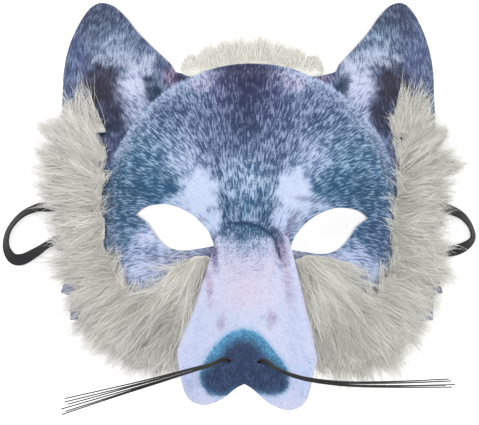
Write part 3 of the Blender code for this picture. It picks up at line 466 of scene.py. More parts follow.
def mould_height(x, y):
    """Height of the face sheet's front over the table."""
    crown, span = read_table(ARCH_SECTIONS, y / FACE_RADIUS)
    share = np.abs(x) / (span * MASK_WIDTH / 2)
    height = RIM_HEIGHT + ARCH_HEIGHT * crown * (1 - share**ARCH_POWER)
    radius = np.hypot(x, y - FACE_CENTRE)
    height = height + STEP_HEIGHT * ease(0, STEP_RUN, FACE_RADIUS - radius)
    height = height + DOME_RISE * np.maximum(0.0, 1 - (radius / FACE_RADIUS) ** 2)
    for dent_x, dent_y, depth, wide, tall in DENTS:
        across = (np.abs(x) / FACE_RADIUS - dent_x) / wide
        along = (y / FACE_RADIUS - dent_y) / tall
        height = height + DENT_DEPTH * depth * np.exp(-across * across - along * along)
    return height - EAR_DROP * ease(0.75, 1.15, y / FACE_RADIUS) * (2 * np.abs(x) / MASK_WIDTH) ** 3


def snout_half(y):
    """Half width of the snout at a height on the face."""
    length = SNOUT_LENGTH * SNOUT_END[-1][1] - SNOUT_TOP_DROP
    share = (SNOUT_TOP - SNOUT_TOP_DROP - y) / length
    return read_table(SNOUT_SECTIONS, share)[0] * SNOUT_WIDTH / 2


def side_outline(side, step):
    """Edge of the sheet on one side, from the forehead's top down to the notch's top."""
    turn = SIDES[side]
    root, wide = EAR_ROOTS[side], EAR_WIDTHS[side]
    arc_end = math.asin(0.405)
    arc = [(FACE_RADIUS * math.sin(arc_end * k / 4),
            FACE_CENTRE + FACE_RADIUS * math.cos(arc_end * k / 4), 0) for k in range(5)]
    dip = [(root - 0.0035, EAR_BASE - 0.0012, 0)]
    ear = [(root + wide * across, EAR_BASE + EAR_HEIGHT * up, 0) for across, up in EAR_EDGE]
    edge = smooth_run(arc + dip + ear, step)
    outer = (root + wide) / (MASK_WIDTH / 2)
    run = [edge.pop()]
    for across, up, corner in SIDE_EDGE:
        across += (outer - 1) * float(ease(0.2, 0.9, up))
        run.append(Vector((across * MASK_WIDTH / 2, up * FACE_RADIUS, 0)))
        if corner:
            edge += smooth_run(run, step)[:-1]
            run = [run[-1]]
    edge += smooth_run(run, step)[:-1]
    notch = []
    lowest = -0.66 * FACE_RADIUS
    top = EYE_LOWER[-1][1] * EYE_HEIGHT - 0.42 * EYE_HEIGHT
    for k in range(6):
        y = lowest + (top - lowest) * k / 5
        notch.append((float(snout_half(y)) - FLANGE, y, 0))
    notch += [(0.55 * (float(snout_half(0)) - FLANGE), top + 0.0045, 0), (0, top + 0.0055, 0)]
    jaw_end = Vector((SIDE_EDGE[-1][0] * MASK_WIDTH / 2, SIDE_EDGE[-1][1] * FACE_RADIUS, 0))
    edge += smooth_run([jaw_end, notch[0]], step)[:-1]
    edge += smooth_run(notch, step)
    return [(turn * p.x, p.y) for p in edge]


def eye_outline(side, step):
    """Edge of an eye hole, as points in plan."""
    turn = SIDES[side]
    lowest = -0.0096 + EYE_SET[side]
    ring = []
    for rows in (EYE_UPPER, EYE_LOWER):
        edge = [(EYE_INNER + EYE_WIDTH * across, lowest + EYE_HEIGHT * up, 0)
                for across, up in rows]
        ring += smooth_run(edge, step)[:-1]
    return [(turn * p.x, p.y) for p in ring]


def snout_wall(along):
    """Wall of the snout sheet, thin at its seam on the face."""
    return SNOUT_SEAM + (sizes().sheet_wall - SNOUT_SEAM) * ease(0.0, 0.12, along)


def snout_front(angle, along):
    """Front of the snout sheet: angle from the ridge in radians, share along its length."""
    angle, along = np.broadcast_arrays(np.asarray(angle, float), np.asarray(along, float))
    half, ridge, edge = read_table(SNOUT_SECTIONS, along)
    across = np.abs(np.sin(angle)) ** (2 / SNOUT_POWER)
    arch = np.maximum(np.cos(angle), 0.0) ** (2 / SNOUT_POWER)
    rise = edge + (ridge - edge) * arch
    x = np.copysign(across, angle) * half * SNOUT_WIDTH / 2
    top = SNOUT_TOP - SNOUT_TOP_DROP * across**2
    end = SNOUT_TOP - SNOUT_LENGTH * read_table(SNOUT_END, across)[0]
    y = top + (end - top) * along
    seat = mould_height(x, np.maximum(y, SEAT_END)) + CLEARANCE + snout_wall(along)
    seat = seat + (FUR_BACK + CLEARANCE) * ease(0.08, 0.22, along)
    y = y - x * SNOUT_SKEW * ease(0.5, 1.0, along)
    return np.stack([x - SNOUT_LEAN * rise, y, seat + SNOUT_REACH * rise], -1)


def snout_point(angle, along, depth):
    """Points under the front of the snout sheet, by a depth square to it."""
    angle = np.clip(angle, -math.pi / 2 + 0.002, math.pi / 2 - 0.002)
    turn, run = 0.02, 0.01
    left, right = np.maximum(angle - turn, -math.pi / 2), np.minimum(angle + turn, math.pi / 2)
    back, fore = np.maximum(along - run, 0.0), np.minimum(along + run, 1.0)
    across = snout_front(right, along) - snout_front(left, along)
    onward = snout_front(angle, back) - snout_front(angle, fore)
    out = np.cross(across, onward)
    out /= np.linalg.norm(out, axis=-1, keepdims=True)
    return snout_front(angle, along) - out * np.asarray(depth)[..., None]


def inside(points, ring):
    """Which points lie inside a ring, in plan."""
    x, y = points[:, 0], points[:, 1]
    found = np.zeros(len(points), bool)
    for k in range(len(ring)):
        (x0, y0), (x1, y1) = ring[k - 1], ring[k]
        if y0 == y1:
            continue
        crosses = (y0 > y) != (y1 > y)
        found ^= crosses & (x < (x1 - x0) * (y - y0) / (y1 - y0) + x0)
    return found


def apart(points, ring):
    """Distance of points to the nearest point of a ring, in plan."""
    ring = np.array(ring)
    nearest = np.full(len(points), 1e9)
    for part in np.array_split(ring, max(1, len(ring) // 60)):
        gap = np.hypot(points[:, 0, None] - part[None, :, 0], points[:, 1, None] - part[None, :, 1])
        nearest = np.minimum(nearest, gap.min(1))
    return nearest


def ripple(x, y, size, seed):
    """Smooth irregular field between about -1 and 1, with features of a size."""
    dice = np.random.default_rng(seed)
    total = np.zeros_like(x)
    for _ in range(7):
        turn = dice.uniform(0, 2 * math.pi)
        rate = 2 * math.pi / (size * dice.uniform(0.7, 1.8))
        phase = dice.uniform(0, 2 * math.pi)
        total += np.sin((x * math.cos(turn) + y * math.sin(turn)) * rate + phase)
    return total / 3.2


def lay_over(ground, weight, value):
    """Moves an array's values towards others, by a weight at each point."""
    if ground.ndim > 1:
        weight = weight[:, None]
    ground += weight * (np.asarray(value) - ground)


def lay_marks(marks, x, y, light, dark, share):
    """Marks laid over the ground colours, each with a soft ragged edge: mostly print, a few painted
    shade.
    """
    for k, (side, mx, my, wide, tall, turn, soft, pale, deep, amount, strength) in enumerate(marks):
        for sign in (-1, 1):
            if side == "left" and sign > 0 or side == "right" and sign < 0:
                continue
            if mx == 0 and sign > 0:
                continue
            a = math.radians(turn) * sign
            dx, dy = x - sign * mx, y - my
            across = (dx * math.cos(a) + dy * math.sin(a)) / wide
            along = (dy * math.cos(a) - dx * math.sin(a)) / tall
            far = np.hypot(across, along)
            far = far + 0.16 * ripple(x, y, 5.0, 31 + k) + 0.08 * ripple(x, y, 2.2, 71 + k)
            weight = strength * (1 - ease(1 - soft, 1 + soft * 0.6, far))
            lay_over(light, weight, hex_linear(pale))
            lay_over(dark, weight, hex_linear(deep))
            lay_over(share, weight, amount)


def add_node(tree, kind, settings=None, links=None):
    """Adds a node: settings by name for the node and its inputs, links from other sockets."""
    node = tree.nodes.new(kind)
    for name, value in (settings or {}).items():
        if isinstance(name, int) or name in node.inputs and not hasattr(node, str(name)):
            node.inputs[name].default_value = value
        else:
            setattr(node, name, value)
    for name, socket in (links or {}).items():
        tree.links.new(socket, node.inputs[name])
    return node


def new_material(name, values):
    """Material with its shader's constant values and its output, and nothing else."""
    material = bpy.data.materials.new(name)
    material.use_nodes = True
    tree = material.node_tree
    tree.nodes.clear()
    shader = add_node(tree, "ShaderNodeBsdfPrincipled", values)
    add_node(tree, "ShaderNodeOutputMaterial", links={"Surface": shader.outputs[0]})
    return material, tree, shader


def mottled(name, base, shades, texture, settings, values, bump=None):
    """Material of one colour, shaded between two levels by a fine pattern that may stand up."""
    material, tree, shader = new_material(name, values)
    place = add_node(tree, "ShaderNodeTexCoord").outputs["Object"]
    pattern = add_node(tree, texture, settings, {"Vector": place}).outputs["Fac"]
    low, high = ((*[min(c * shade, 1) for c in base], 1) for shade in shades)
    mix = add_node(tree, "ShaderNodeMix", {"data_type": "RGBA", 6: low, 7: high}, {0: pattern})
    tree.links.new(mix.outputs[2], shader.inputs["Base Color"])
    if bump:
        raised = add_node(tree, "ShaderNodeBump", {"Strength": bump[0], "Distance": bump[1]},
                          {"Height": pattern})
        tree.links.new(raised.outputs[0], shader.inputs["Normal"])
    return material


def printed_plush():
    """Polyester velour, brushed and transfer printed: matt, faintly sheened, hairs printed on; its
    stored colours also hold painted shade.
    """
    material, tree, shader = new_material("printed_velour_with_painted_shade", {
        "Roughness": 0.92, "Specular IOR Level": 0.15, "Sheen Weight": 0.12, "Sheen Roughness": 0.5})
    place = add_node(tree, "ShaderNodeTexCoord").outputs["Object"]
    lie = add_node(tree, "ShaderNodeAttribute", {"attribute_name": "lie"}).outputs["Vector"]
    # The stored colours are the print with painted shade laid in
    light = add_node(tree, "ShaderNodeAttribute", {"attribute_name": "print_and_shade_light"})
    dark = add_node(tree, "ShaderNodeAttribute", {"attribute_name": "print_and_shade_dark"})
    share = add_node(tree, "ShaderNodeAttribute", {"attribute_name": "print_and_shade_share"})
    width = sizes().streak_width
    taps = 6
    total = None
    for k in range(taps):
        reach = (k - (taps - 1) / 2) * width * 0.95
        moved = add_node(tree, "ShaderNodeVectorMath",
                         {"operation": "MULTIPLY_ADD", 1: (reach,) * 3}, {0: lie, 2: place})
        grain = add_node(tree, "ShaderNodeTexNoise",
                         {"Scale": 0.55 / width, "Detail": 1.5, "Roughness": 0.65},
                         {"Vector": moved.outputs[0]})
        total = grain.outputs["Fac"] if total is None else add_node(
            tree, "ShaderNodeMath", {"operation": "ADD"}, {0: total, 1: grain.outputs["Fac"]}
        ).outputs[0]
    streak = add_node(tree, "ShaderNodeMapRange",
                      {"From Min": taps * 0.385, "From Max": taps * 0.615}, {"Value": total})
    # Hairs lie in locks of a few millimetres, some darker than others
    locks = add_node(tree, "ShaderNodeTexNoise", {"Scale": 1 / (4.5 * MM), "Detail": 2.0},
                     {"Vector": place})
    heavier = add_node(tree, "ShaderNodeMapRange",
                       {"From Min": 0.3, "From Max": 0.7, "To Min": -0.20, "To Max": 0.20},
                       {"Value": locks.outputs["Fac"]})
    level = add_node(tree, "ShaderNodeMath", {"operation": "ADD"},
                     {0: share.outputs["Fac"], 1: heavier.outputs[0]})
    edge = add_node(tree, "ShaderNodeMath", {"operation": "SUBTRACT", 0: 1.0},
                    {1: level.outputs[0]})
    past = add_node(tree, "ShaderNodeMath", {"operation": "SUBTRACT"},
                    {0: streak.outputs[0], 1: edge.outputs[0]})
    amount = add_node(tree, "ShaderNodeMapRange",
                      {"interpolation_type": "SMOOTHSTEP", "From Min": -0.36, "From Max": 0.36},
                      {"Value": past.outputs[0]})
    cloth = add_node(tree, "ShaderNodeMix", {"data_type": "RGBA"},
                     {0: amount.outputs[0], 6: light.outputs["Color"], 7: dark.outputs["Color"]})
    # Pile of about 0.4 mm, lighter on its tips
    pile = add_node(tree, "ShaderNodeTexNoise", {"Scale": 1 / (0.5 * MM), "Detail": 3.0},
                    {"Vector": place})
    fleck = add_node(tree, "ShaderNodeMapRange",
                     {"From Min": 0.3, "From Max": 0.7, "To Min": 0.86, "To Max": 1.14},
                     {"Value": pile.outputs["Fac"]})
    tint = add_node(tree, "ShaderNodeVectorMath", {"operation": "SCALE"},
                    {0: cloth.outputs[2], "Scale": fleck.outputs[0]})
    tree.links.new(tint.outputs[0], shader.inputs["Base Color"])
    bump = add_node(tree, "ShaderNodeBump", {"Strength": 0.35, "Distance": 0.25 * MM},
                    {"Height": pile.outputs["Fac"]})
    tree.links.new(bump.outputs[0], shader.inputs["Normal"])
    return material


def cut_foam():
    """Cut edge of the moulded foam sheet: pale, matt and open-celled."""
    return mottled("cut_foam", colours().foam_edge, (0.72, 1), "ShaderNodeTexNoise",
                   {"Scale": 1 / (0.6 * MM), "Detail": 2.0}, {"Roughness": 0.95})


def knitted_backing():
    """Fine brushed knit laminated to the sheet's back: off-white, with faint ribs."""
    # A wave texture of scale 1 has 20 bands in a metre, and the ribs lie 1.4 mm apart
    return mottled("knitted_backing", colours().foam_back, (0.86, 1), "ShaderNodeTexWave",
                   {"wave_type": "BANDS", "bands_direction": "X", "Scale": 1 / (1.4 * MM) / 20,
                    "Distortion": 0.6, "Detail": 2.0}, {"Roughness": 0.95}, (0.3, 0.2 * MM))


def long_pile(name, root, tip):
    """Acrylic long-pile fur: pale tips over darker roots, dull, with a soft sheen."""
    material, tree, shader = new_material(name, {
        "Roughness": 0.75, "Specular IOR Level": 0.25, "Sheen Weight": 0.15})
    along = add_node(tree, "ShaderNodeAttribute", {"attribute_name": "along"}).outputs["Fac"]
    # The tone attribute holds each wisp's brightness, with painted shade beside the snout
    tone = add_node(tree, "ShaderNodeAttribute", {"attribute_name": "tone"}).outputs["Fac"]
    blend = add_node(tree, "ShaderNodeMapRange",
                     {"interpolation_type": "SMOOTHSTEP", "From Min": 0.0, "From Max": 0.9},
                     {"Value": along})
    mix = add_node(tree, "ShaderNodeMix",
                   {"data_type": "RGBA", 6: (*root, 1), 7: (*tip, 1)}, {0: blend.outputs[0]})
    shade = add_node(tree, "ShaderNodeVectorMath", {"operation": "SCALE"},
                     {0: mix.outputs[2], "Scale": tone})
    tree.links.new(shade.outputs[0], shader.inputs["Base Color"])
    return material


def fur_ground(name, root):
    """Matted underside of the fur, seen between the hairs: dull, clumped and unsheened."""
    return mottled(name, root, (0.80, 1.05), "ShaderNodeTexNoise",
                   {"Scale": 1 / (2.5 * MM), "Detail": 5.0}, {"Roughness": 0.95}, (0.6, 0.5 * MM))


def nylon_bristle():
    """Drawn nylon monofilament: near black, smooth, with a narrow highlight along it."""
    return mottled("nylon_monofilament", colours().bristle, (1, 2.2), "ShaderNodeTexNoise",
                   {"Scale": 1 / (4 * MM), "Detail": 2.0}, {"Roughness": 0.38, "IOR": 1.53})


def painted_floor():
    """Matt white studio floor, lit faintly from below, so that no shadow falls hard on it."""
    return mottled("painted_floor", colours().floor, (0.995, 1), "ShaderNodeTexNoise",
                   {"Scale": 3.0}, {"Roughness": 0.9, "Specular IOR Level": 0.1,
                                    "Emission Color": (1, 1, 1, 1),
                                    "Emission Strength": FLOOR_GLOW})


def woven_elastic():
    """Braided polyester and rubber elastic: matt black with fine ribs along it."""
    material, tree, shader = new_material("woven_elastic", {"Roughness": 0.75, "Sheen Weight": 0.05})
    across = add_node(tree, "ShaderNodeUVMap", {"uv_map": "weave"}).outputs["UV"]
    parts = add_node(tree, "ShaderNodeSeparateXYZ", links={"Vector": across})
    # Ribs 0.75 mm apart across the tape and picks 0.5 mm apart along it
    waves = []
    for axis, spacing in (("X", 0.75 * MM), ("Y", 0.5 * MM)):
        turn = add_node(tree, "ShaderNodeMath", {"operation": "MULTIPLY", 1: 2 * math.pi / spacing},
                        {0: parts.outputs[axis]})
        wave = add_node(tree, "ShaderNodeMath", {"operation": "SINE"}, {0: turn.outputs[0]})
        waves.append(wave.outputs[0])
    weave = add_node(tree, "ShaderNodeMath", {"operation": "MULTIPLY_ADD", 1: 0.5},
                     {0: waves[1], 2: waves[0]})
    level = add_node(tree, "ShaderNodeMapRange", {"From Min": -1.4, "From Max": 1.4},
                     {"Value": weave.outputs[0]})
    base = colours().elastic
    mix = add_node(tree, "ShaderNodeMix",
                   {"data_type": "RGBA", 6: (*[c * 0.5 for c in base], 1),
                    7: (*[c * 1.7 for c in base], 1)}, {0: level.outputs[0]})
    tree.links.new(mix.outputs[2], shader.inputs["Base Color"])
    bump = add_node(tree, "ShaderNodeBump", {"Strength": 0.7, "Distance": 0.15 * MM},
                    {"Height": level.outputs[0]})
    tree.links.new(bump.outputs[0], shader.inputs["Normal"])
    return material


def deselect():
    bpy.ops.object.select_all(action="DESELECT")


def activate(made):
    """Selects one object alone and makes it active."""
    deselect()
    made.select_set(True)
    bpy.context.view_layer.objects.active = made


def apply_modifier(made, kind, **settings):
    """Adds a modifier to a piece, sets it up and applies it."""
    activate(made)
    bpy.ops.object.modifier_add(type=kind)
    modifier = made.modifiers[-1]
    for name, value in settings.items():
        setattr(modifier, name, value)
    bpy.ops.object.modifier_apply(modifier=modifier.name)


def edit_whole(step, **settings):
    """Runs one edit mode step on the whole mesh of the active piece."""
    bpy.ops.object.mode_set(mode="EDIT")
    bpy.ops.mesh.select_all(action="SELECT")
    step(**settings)
    bpy.ops.object.mode_set(mode="OBJECT")


def mesh_object(name, verts, faces):
    """Object of a mesh from arrays, linked and selected alone."""
    mesh = bpy.data.meshes.new(name)
    mesh.from_pydata(np.asarray(verts).tolist(), [], np.asarray(faces).tolist()
                     if isinstance(faces, np.ndarray) else faces)
    mesh.update()
    made = bpy.data.objects.new(name, mesh)
    bpy.context.scene.collection.objects.link(made)
    activate(made)
    return made


def store(mesh, name, kind, values):
    """Point attribute from an array."""
    layer = mesh.attributes.new(name, kind, "POINT")
    field = {"FLOAT": "value", "FLOAT_VECTOR": "vector", "FLOAT_COLOR": "color"}[kind]
    layer.data.foreach_set(field, np.asarray(values, np.float32).ravel())


def coordinates(mesh):
    """Places of a mesh's points, as an array."""
    found = np.zeros(len(mesh.vertices) * 3, np.float32)
    mesh.vertices.foreach_get("co", found)
    return found.reshape(-1, 3).astype(float)


def dress(made, slot, *nodes):
    """Joins a finished piece to the frame."""
    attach(made, "root")
    if nodes:
        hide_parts(*nodes)


def ground_print(ground, count):
    """Colours and share of dark hairs at each point before any mark is laid on."""
    light, dark, share = ground
    return np.tile(light, (count, 1)), np.tile(dark, (count, 1)), np.full(count, share)


def lay_print_and_shade(made, ground, marks, extra):
    """Stores the print's colours with painted shade laid in, the share of dark hairs and their lie at
    each point.
    """
    mesh = made.data
    points = coordinates(mesh) - np.array(PLACE)
    x, y = points[:, 0] / MM - PRINT_MIDDLE, points[:, 1] / MM
    light, dark, share = ground_print(ground, len(x))
    lay_marks(marks, x, y, light, dark, share)
    # Painted shadow in the seam at the snout's top, under the brow's edge: darkens both colours and
    # the hairs' share
    gap = line_gap(x, y, CREASE_SHADOW_PATH)
    crease_shadow = 0.95 * (1 - ease(0.2, 1.1, gap / 1.15 + 0.25 * ripple(x, y, 2.0, 21)))
    for ground_tint in (light, dark):
        lay_over(ground_tint, 0.8 * crease_shadow, hex_linear(CREASE_SHADOW_COLOUR))
    lay_over(share, crease_shadow, 0.95)
    lie = fur_lie(x, y)
    extra(x, y, ground, light, dark, share, lie)
    lie = np.column_stack([lie, slope_along(points, lie)])
    lie /= np.linalg.norm(lie, axis=1, keepdims=True)
    store(mesh, "print_and_shade_light", "FLOAT_COLOR", np.column_stack([light, np.ones(len(x))]))
    store(mesh, "print_and_shade_dark", "FLOAT_COLOR", np.column_stack([dark, np.ones(len(x))]))
    store(mesh, "print_and_shade_share", "FLOAT", share)
    store(mesh, "lie", "FLOAT_VECTOR", lie)


def print_and_shade_ears(x, y, ground, light, dark, share, lie):
    """Pale rim round the forehead, and the ears' own marks and lines outside it, one mark being
    painted shade in the notch beside the forehead.
    """
    radius = np.hypot(x + PRINT_MIDDLE, y - FACE_CENTRE / MM)
    rough = 0.5 * ripple(x, y, 3.0, 5)
    rim = 1 - ease(0.5, 6.5, FACE_RADIUS / MM - radius + 1.6 * rough)
    rim = rim * ease(22, 45, y) * ease(0, 9, np.abs(x) - 15)
    pale, streaked = (hex_linear(code) for code in RIM_INKS)
    lay_over(light, 0.7 * rim, pale)
    lay_over(dark, 0.6 * rim, streaked)
    lay_over(share, 0.65 * rim, 0.30)
    ear_light, ear_dark, ear_share = ground_print(ground, len(x))
    lay_marks(EAR_MARKS, x, y, ear_light, ear_dark, ear_share)
    for x0, y0, x1, y1, x2, y2, wide, strength in EAR_LINES:
        for sign in (-1, 1):
            near = np.full(len(x), 1e9)
            for t in np.linspace(0, 1, 40):
                px = (1 - t) ** 2 * x0 + 2 * t * (1 - t) * x1 + t * t * x2
                py = (1 - t) ** 2 * y0 + 2 * t * (1 - t) * y1 + t * t * y2
                near = np.minimum(near, np.hypot(x - sign * px, y - py))
            weight = strength * (1 - ease(0.3, 1.5, near / wide + 0.2 * ripple(x, y, 2, 9)))
            lay_over(ear_light, weight, hex_linear(EAR_LINE_INK))
            lay_over(ear_share, weight, 0.25)
    outside = ease(-0.2, 0.5, radius - FACE_RADIUS / MM) * ease(28, 36, y)
    for field, ear_field in ((light, ear_light), (dark, ear_dark), (share, ear_share),
                             (lie, ear_lie(x, y))):
        lay_over(field, outside, ear_field)


def print_nose(x, y, ground, light, dark, share, lie):
    """Printed nose pad: dark, with a teal glow along its upper edge and a halo round it."""
    colour = colours()
    flat = np.column_stack([x + PRINT_MIDDLE - NOSE_MIDDLE, y])
    left = smooth_run([(px, py, 0) for px, py in NOSE_LEFT], 0.5)
    right = smooth_run([(px, py, 0) for px, py in reversed(NOSE_RIGHT)], 0.5)
    ring = [(p.x, p.y) for p in left[:-1] + right[:-1]]
    gap = apart(flat, ring)
    depth = np.where(inside(flat, ring), gap, -gap)
    depth += 0.35 * ripple(flat[:, 0], flat[:, 1], 2.5, 12)
    pad = ease(-0.7, 0.9, depth)
    upper = ease(-72, -58, y)
    glow = (1 - ease(0.5, 8.0, depth)) * upper
    low = (1 - ease(0.5, 3.0, depth)) * (1 - upper) * 0.35
    tone = np.tile(np.array(colour.nose_dark), (len(x), 1))
    lay_over(tone, glow + low, colour.nose_teal)
    shadow = ease(-2.8, -0.2, depth) * (1 - pad)
    for field, factor in ((light, 1.6), (dark, 0.78)):
        lay_over(field, 0.6 * shadow, hex_linear(NOSE_HALO))
        lay_over(field, pad, np.clip(tone * factor, 0, 1))
    lay_over(share, pad, 0.62)


def line_gap(x, y, line):
    """Distance of points to a line through the given points."""
    near = np.full(len(x), 1e9)
    for p in smooth_run([(*spot, 0) for spot in line], 0.5):
        near = np.minimum(near, np.hypot(x - p.x, y - p.y))
    return near


def fur_lie(x, y):
    """Direction of the printed hairs: a fountain from the bridge, falling outwards."""
    source, fall = -20.0, 0.0085
    dx = x * (0.55 + 0.85 * ease(8, 36, np.abs(x))) + 2.5 * ripple(x, y, 11, 3)
    dy = y - source - fall * x * x + 2.5 * ripple(x, y, 11, 4)
    length = np.maximum(np.hypot(dx, dy), 1e-6)
    return np.column_stack([dx / length, dy / length])


def ear_lie(x, y):
    """Direction of the printed hairs on the ears: up them, and slanting in the pale part."""
    side = np.sign(x)
    inner = (1 - ease(7, 12, np.hypot((np.abs(x) - 57) / 1.0, (y - 68) / 1.5)))
    turn = np.radians(100 - 55 * inner + 18 * ripple(x, y, 11, 6))
    return np.column_stack([-np.cos(turn) * -side, np.sin(turn)])


def slope_along(points, lie):
    """Rise of the face along the lie of its hairs."""
    step = 0.5 * MM
    x, y = points[:, 0], points[:, 1]
    ahead = mould_height(x + lie[:, 0] * step, y + lie[:, 1] * step)
    return np.clip((ahead - mould_height(x, y)) / step, -2, 2)


def sheet_mesh(name, ring, holes, pitch):
    """Flat triangulated sheet with an outline and holes, then raised to the mould's height."""
    ring_points = np.array(ring)
    low, high = ring_points.min(0), ring_points.max(0)
    rows = int((high[1] - low[1]) / (pitch * 0.866)) + 1
    columns = int((high[0] - low[0]) / pitch) + 2
    grid_x, grid_y = np.meshgrid(np.arange(columns) * pitch, np.arange(rows) * pitch * 0.866)
    grid_x = grid_x + (np.arange(rows)[:, None] % 2) * pitch / 2
    grid = np.column_stack([low[0] + grid_x.ravel(), low[1] + grid_y.ravel()])
    keep = inside(grid, ring) & (apart(grid, ring) > pitch * 0.55)
    for hole in holes:
        keep &= ~inside(grid, hole) & (apart(grid, hole) > pitch * 0.55)
    grid = grid[keep]
    verts = [Vector(p) for p in ring]
    edges = [(k, (k + 1) % len(ring)) for k in range(len(ring))]
    for hole in holes:
        start = len(verts)
        verts += [Vector(p) for p in hole]
        edges += [(start + k, start + (k + 1) % len(hole)) for k in range(len(hole))]
    verts += [Vector(p) for p in grid.tolist()]
    flat, _, faces, *_ = delaunay_2d_cdt(verts, edges, [], 1, 1e-7, False)
    flat = np.array([tuple(p) for p in flat])
    faces = np.array(faces)
    middle = flat[faces].mean(1)
    good = inside(middle, ring)
    for hole in holes:
        good &= ~inside(middle, hole)
    faces = faces[good]
    a, b, c = (flat[faces[:, k]] for k in range(3))
    cross = (b[:, 0] - a[:, 0]) * (c[:, 1] - a[:, 1]) - (b[:, 1] - a[:, 1]) * (c[:, 0] - a[:, 0])
    faces[cross < 0] = faces[cross < 0][:, ::-1]
    x, y = flat[:, 0], flat[:, 1]
    points = np.column_stack([x, y, mould_height(x, y)]) + np.array(PLACE)
    made = mesh_object(name, points, faces)
    edit_whole(bpy.ops.mesh.delete_loose)
    return made


def line_sheet(made):
    """A sheet's three materials: printed front, cut edge and backing."""
    for material in (printed_plush(), cut_foam(), knitted_backing()):
        made.data.materials.append(material)


def thicken(made, wall):
    """Gives a sheet its wall, with the cut edge and the back in their materials."""
    line_sheet(made)
    apply_modifier(made, "SOLIDIFY", thickness=wall, offset=-1, use_even_offset=True,
                   use_rim=True, material_offset=2, material_offset_rim=1)
    bpy.ops.object.shade_smooth_by_angle(angle=SMOOTH_ANGLE)


class MASK_OT_stage(bpy.types.Operator):
    """Pale floor, soft studio lights and the camera above the mask"""

    bl_idname = "mask.stage"
    bl_label = "Stage"

    def execute(self, context):
        deselect()
        bpy.ops.mesh.primitive_plane_add(size=6, location=(0, 0, 0))
        floor = context.object
        floor.name = "floor"
        floor.data.materials.append(painted_floor())
        for name, spot, size, power in LAMPS:
            deselect()
            bpy.ops.object.light_add(type="AREA", location=spot)
            lamp = context.object
            lamp.name = name
            lamp.data.size = size
            lamp.data.energy = power
            aim = Vector((0, 0, 0)) - Vector(spot)
            lamp.rotation_euler = aim.to_track_quat("-Z", "Y").to_euler()
        world = bpy.data.worlds.new("studio")
        world.use_nodes = True
        world.node_tree.nodes["Background"].inputs[0].default_value = (1, 1, 1, 1)
        world.node_tree.nodes["Background"].inputs[1].default_value = SKY_LIGHT
        context.scene.world = world
        context.scene.view_settings.view_transform = "Standard"
        deselect()
        # Straight above the middle of the photograph's frame
        bpy.ops.object.camera_add(location=PLACE + CAMERA_SPOT, rotation=(0, 0, 0))
        camera = context.object
        camera.name = "camera"
        camera.data.sensor_fit = "HORIZONTAL"
        camera.data.sensor_width = SENSOR_WIDTH
        camera.data.lens = SENSOR_WIDTH * PHOTO_DISTANCE / PHOTO_WIDTH
        camera.data.clip_end = 20
        context.scene.camera = camera
        return {"FINISHED"}


class MASK_OT_face(bpy.types.Operator):
    """Moulded face sheet with the ears and eye holes, printed and cut"""

    bl_idname = "mask.face"
    bl_label = "Face sheet"

    def execute(self, context):
        pitch = sizes().mesh_pitch
        ring = side_outline("right", pitch)
        ring += list(reversed(side_outline("left", pitch)))[1:-1]
        eyes = [eye_outline(side, pitch * 0.8) for side in SIDES]
        made = sheet_mesh("face_sheet", ring, eyes, pitch)
        colour = colours()
        lay_print_and_shade(made, (colour.plush_light, colour.plush_dark, 0.45), FACE_MARKS, print_and_shade_ears)
        thicken(made, sizes().sheet_wall)
        dress(made, "printed_plush", "face_shell")
        return {"FINISHED"}


class MASK_OT_snout(bpy.types.Operator):
    """Raised snout sheet with its printed nose and whisker holes"""

    bl_idname = "mask.snout"
    bl_label = "Snout"

    def execute(self, context):
        # Cells round the arch and along it
        turns, runs = 104, 96
        angle = np.linspace(-math.pi / 2, math.pi / 2, turns + 1)
        along = np.linspace(0, 1, runs + 1)
        angles, alongs = np.meshgrid(angle, along)
        front = snout_point(angles, alongs, np.zeros_like(alongs)).reshape(-1, 3)
        back = snout_point(angles, alongs, snout_wall(alongs)).reshape(-1, 3)
        row, layer = turns + 1, (turns + 1) * (runs + 1)
        faces, kinds = [], []
        for j in range(runs):
            for i in range(turns):
                a, b = j * row + i, j * row + i + 1
                faces.append((a, a + row, b + row, b))
                kinds.append(0)
                faces.append((a + layer, b + layer, b + row + layer, a + row + layer))
                kinds.append(2)
        rim = [(i, 0) for i in range(turns)] + [(turns, j) for j in range(runs)]
        rim += [(i, runs) for i in range(turns, 0, -1)] + [(0, j) for j in range(runs, 0, -1)]
        for k, (i, j) in enumerate(rim):
            m, n = rim[(k + 1) % len(rim)]
            a, b = j * row + i, n * row + m
            faces.append((a, b, b + layer, a + layer))
            kinds.append(1)
        made = mesh_object("snout_sheet", np.vstack([front, back]) + np.array(PLACE), faces)
        line_sheet(made)
        made.data.polygons.foreach_set("material_index", kinds)
        for turn in SIDES.values():
            spot = [snout_point(turn * WHISKER_ROOT[0], WHISKER_ROOT[1], d) for d in (-6 * MM, 8 * MM)]
            high, low = (Vector(p) + PLACE for p in spot)
            deselect()
            bpy.ops.mesh.primitive_cylinder_add(
                vertices=24, radius=WHISKER_HOLE / 2, depth=(high - low).length,
                location=(high + low) / 2,
                rotation=(high - low).to_track_quat("Z", "Y").to_euler())
            cutter = context.object
            cutter.data.materials.append(made.data.materials[1])
            apply_modifier(made, "BOOLEAN", operation="DIFFERENCE", solver="EXACT",
                           material_mode="TRANSFER", object=cutter)
            bpy.data.objects.remove(cutter, do_unlink=True)
        colour = colours()
        ground = (colour.snout_light, hex_linear(SNOUT_STREAK), 0.20)
        lay_print_and_shade(made, ground, SNOUT_MARKS, print_nose)
        activate(made)
        bpy.ops.object.shade_smooth_by_angle(angle=SMOOTH_ANGLE)
        dress(made, "snout_plush", "snout")
        return {"FINISHED"}


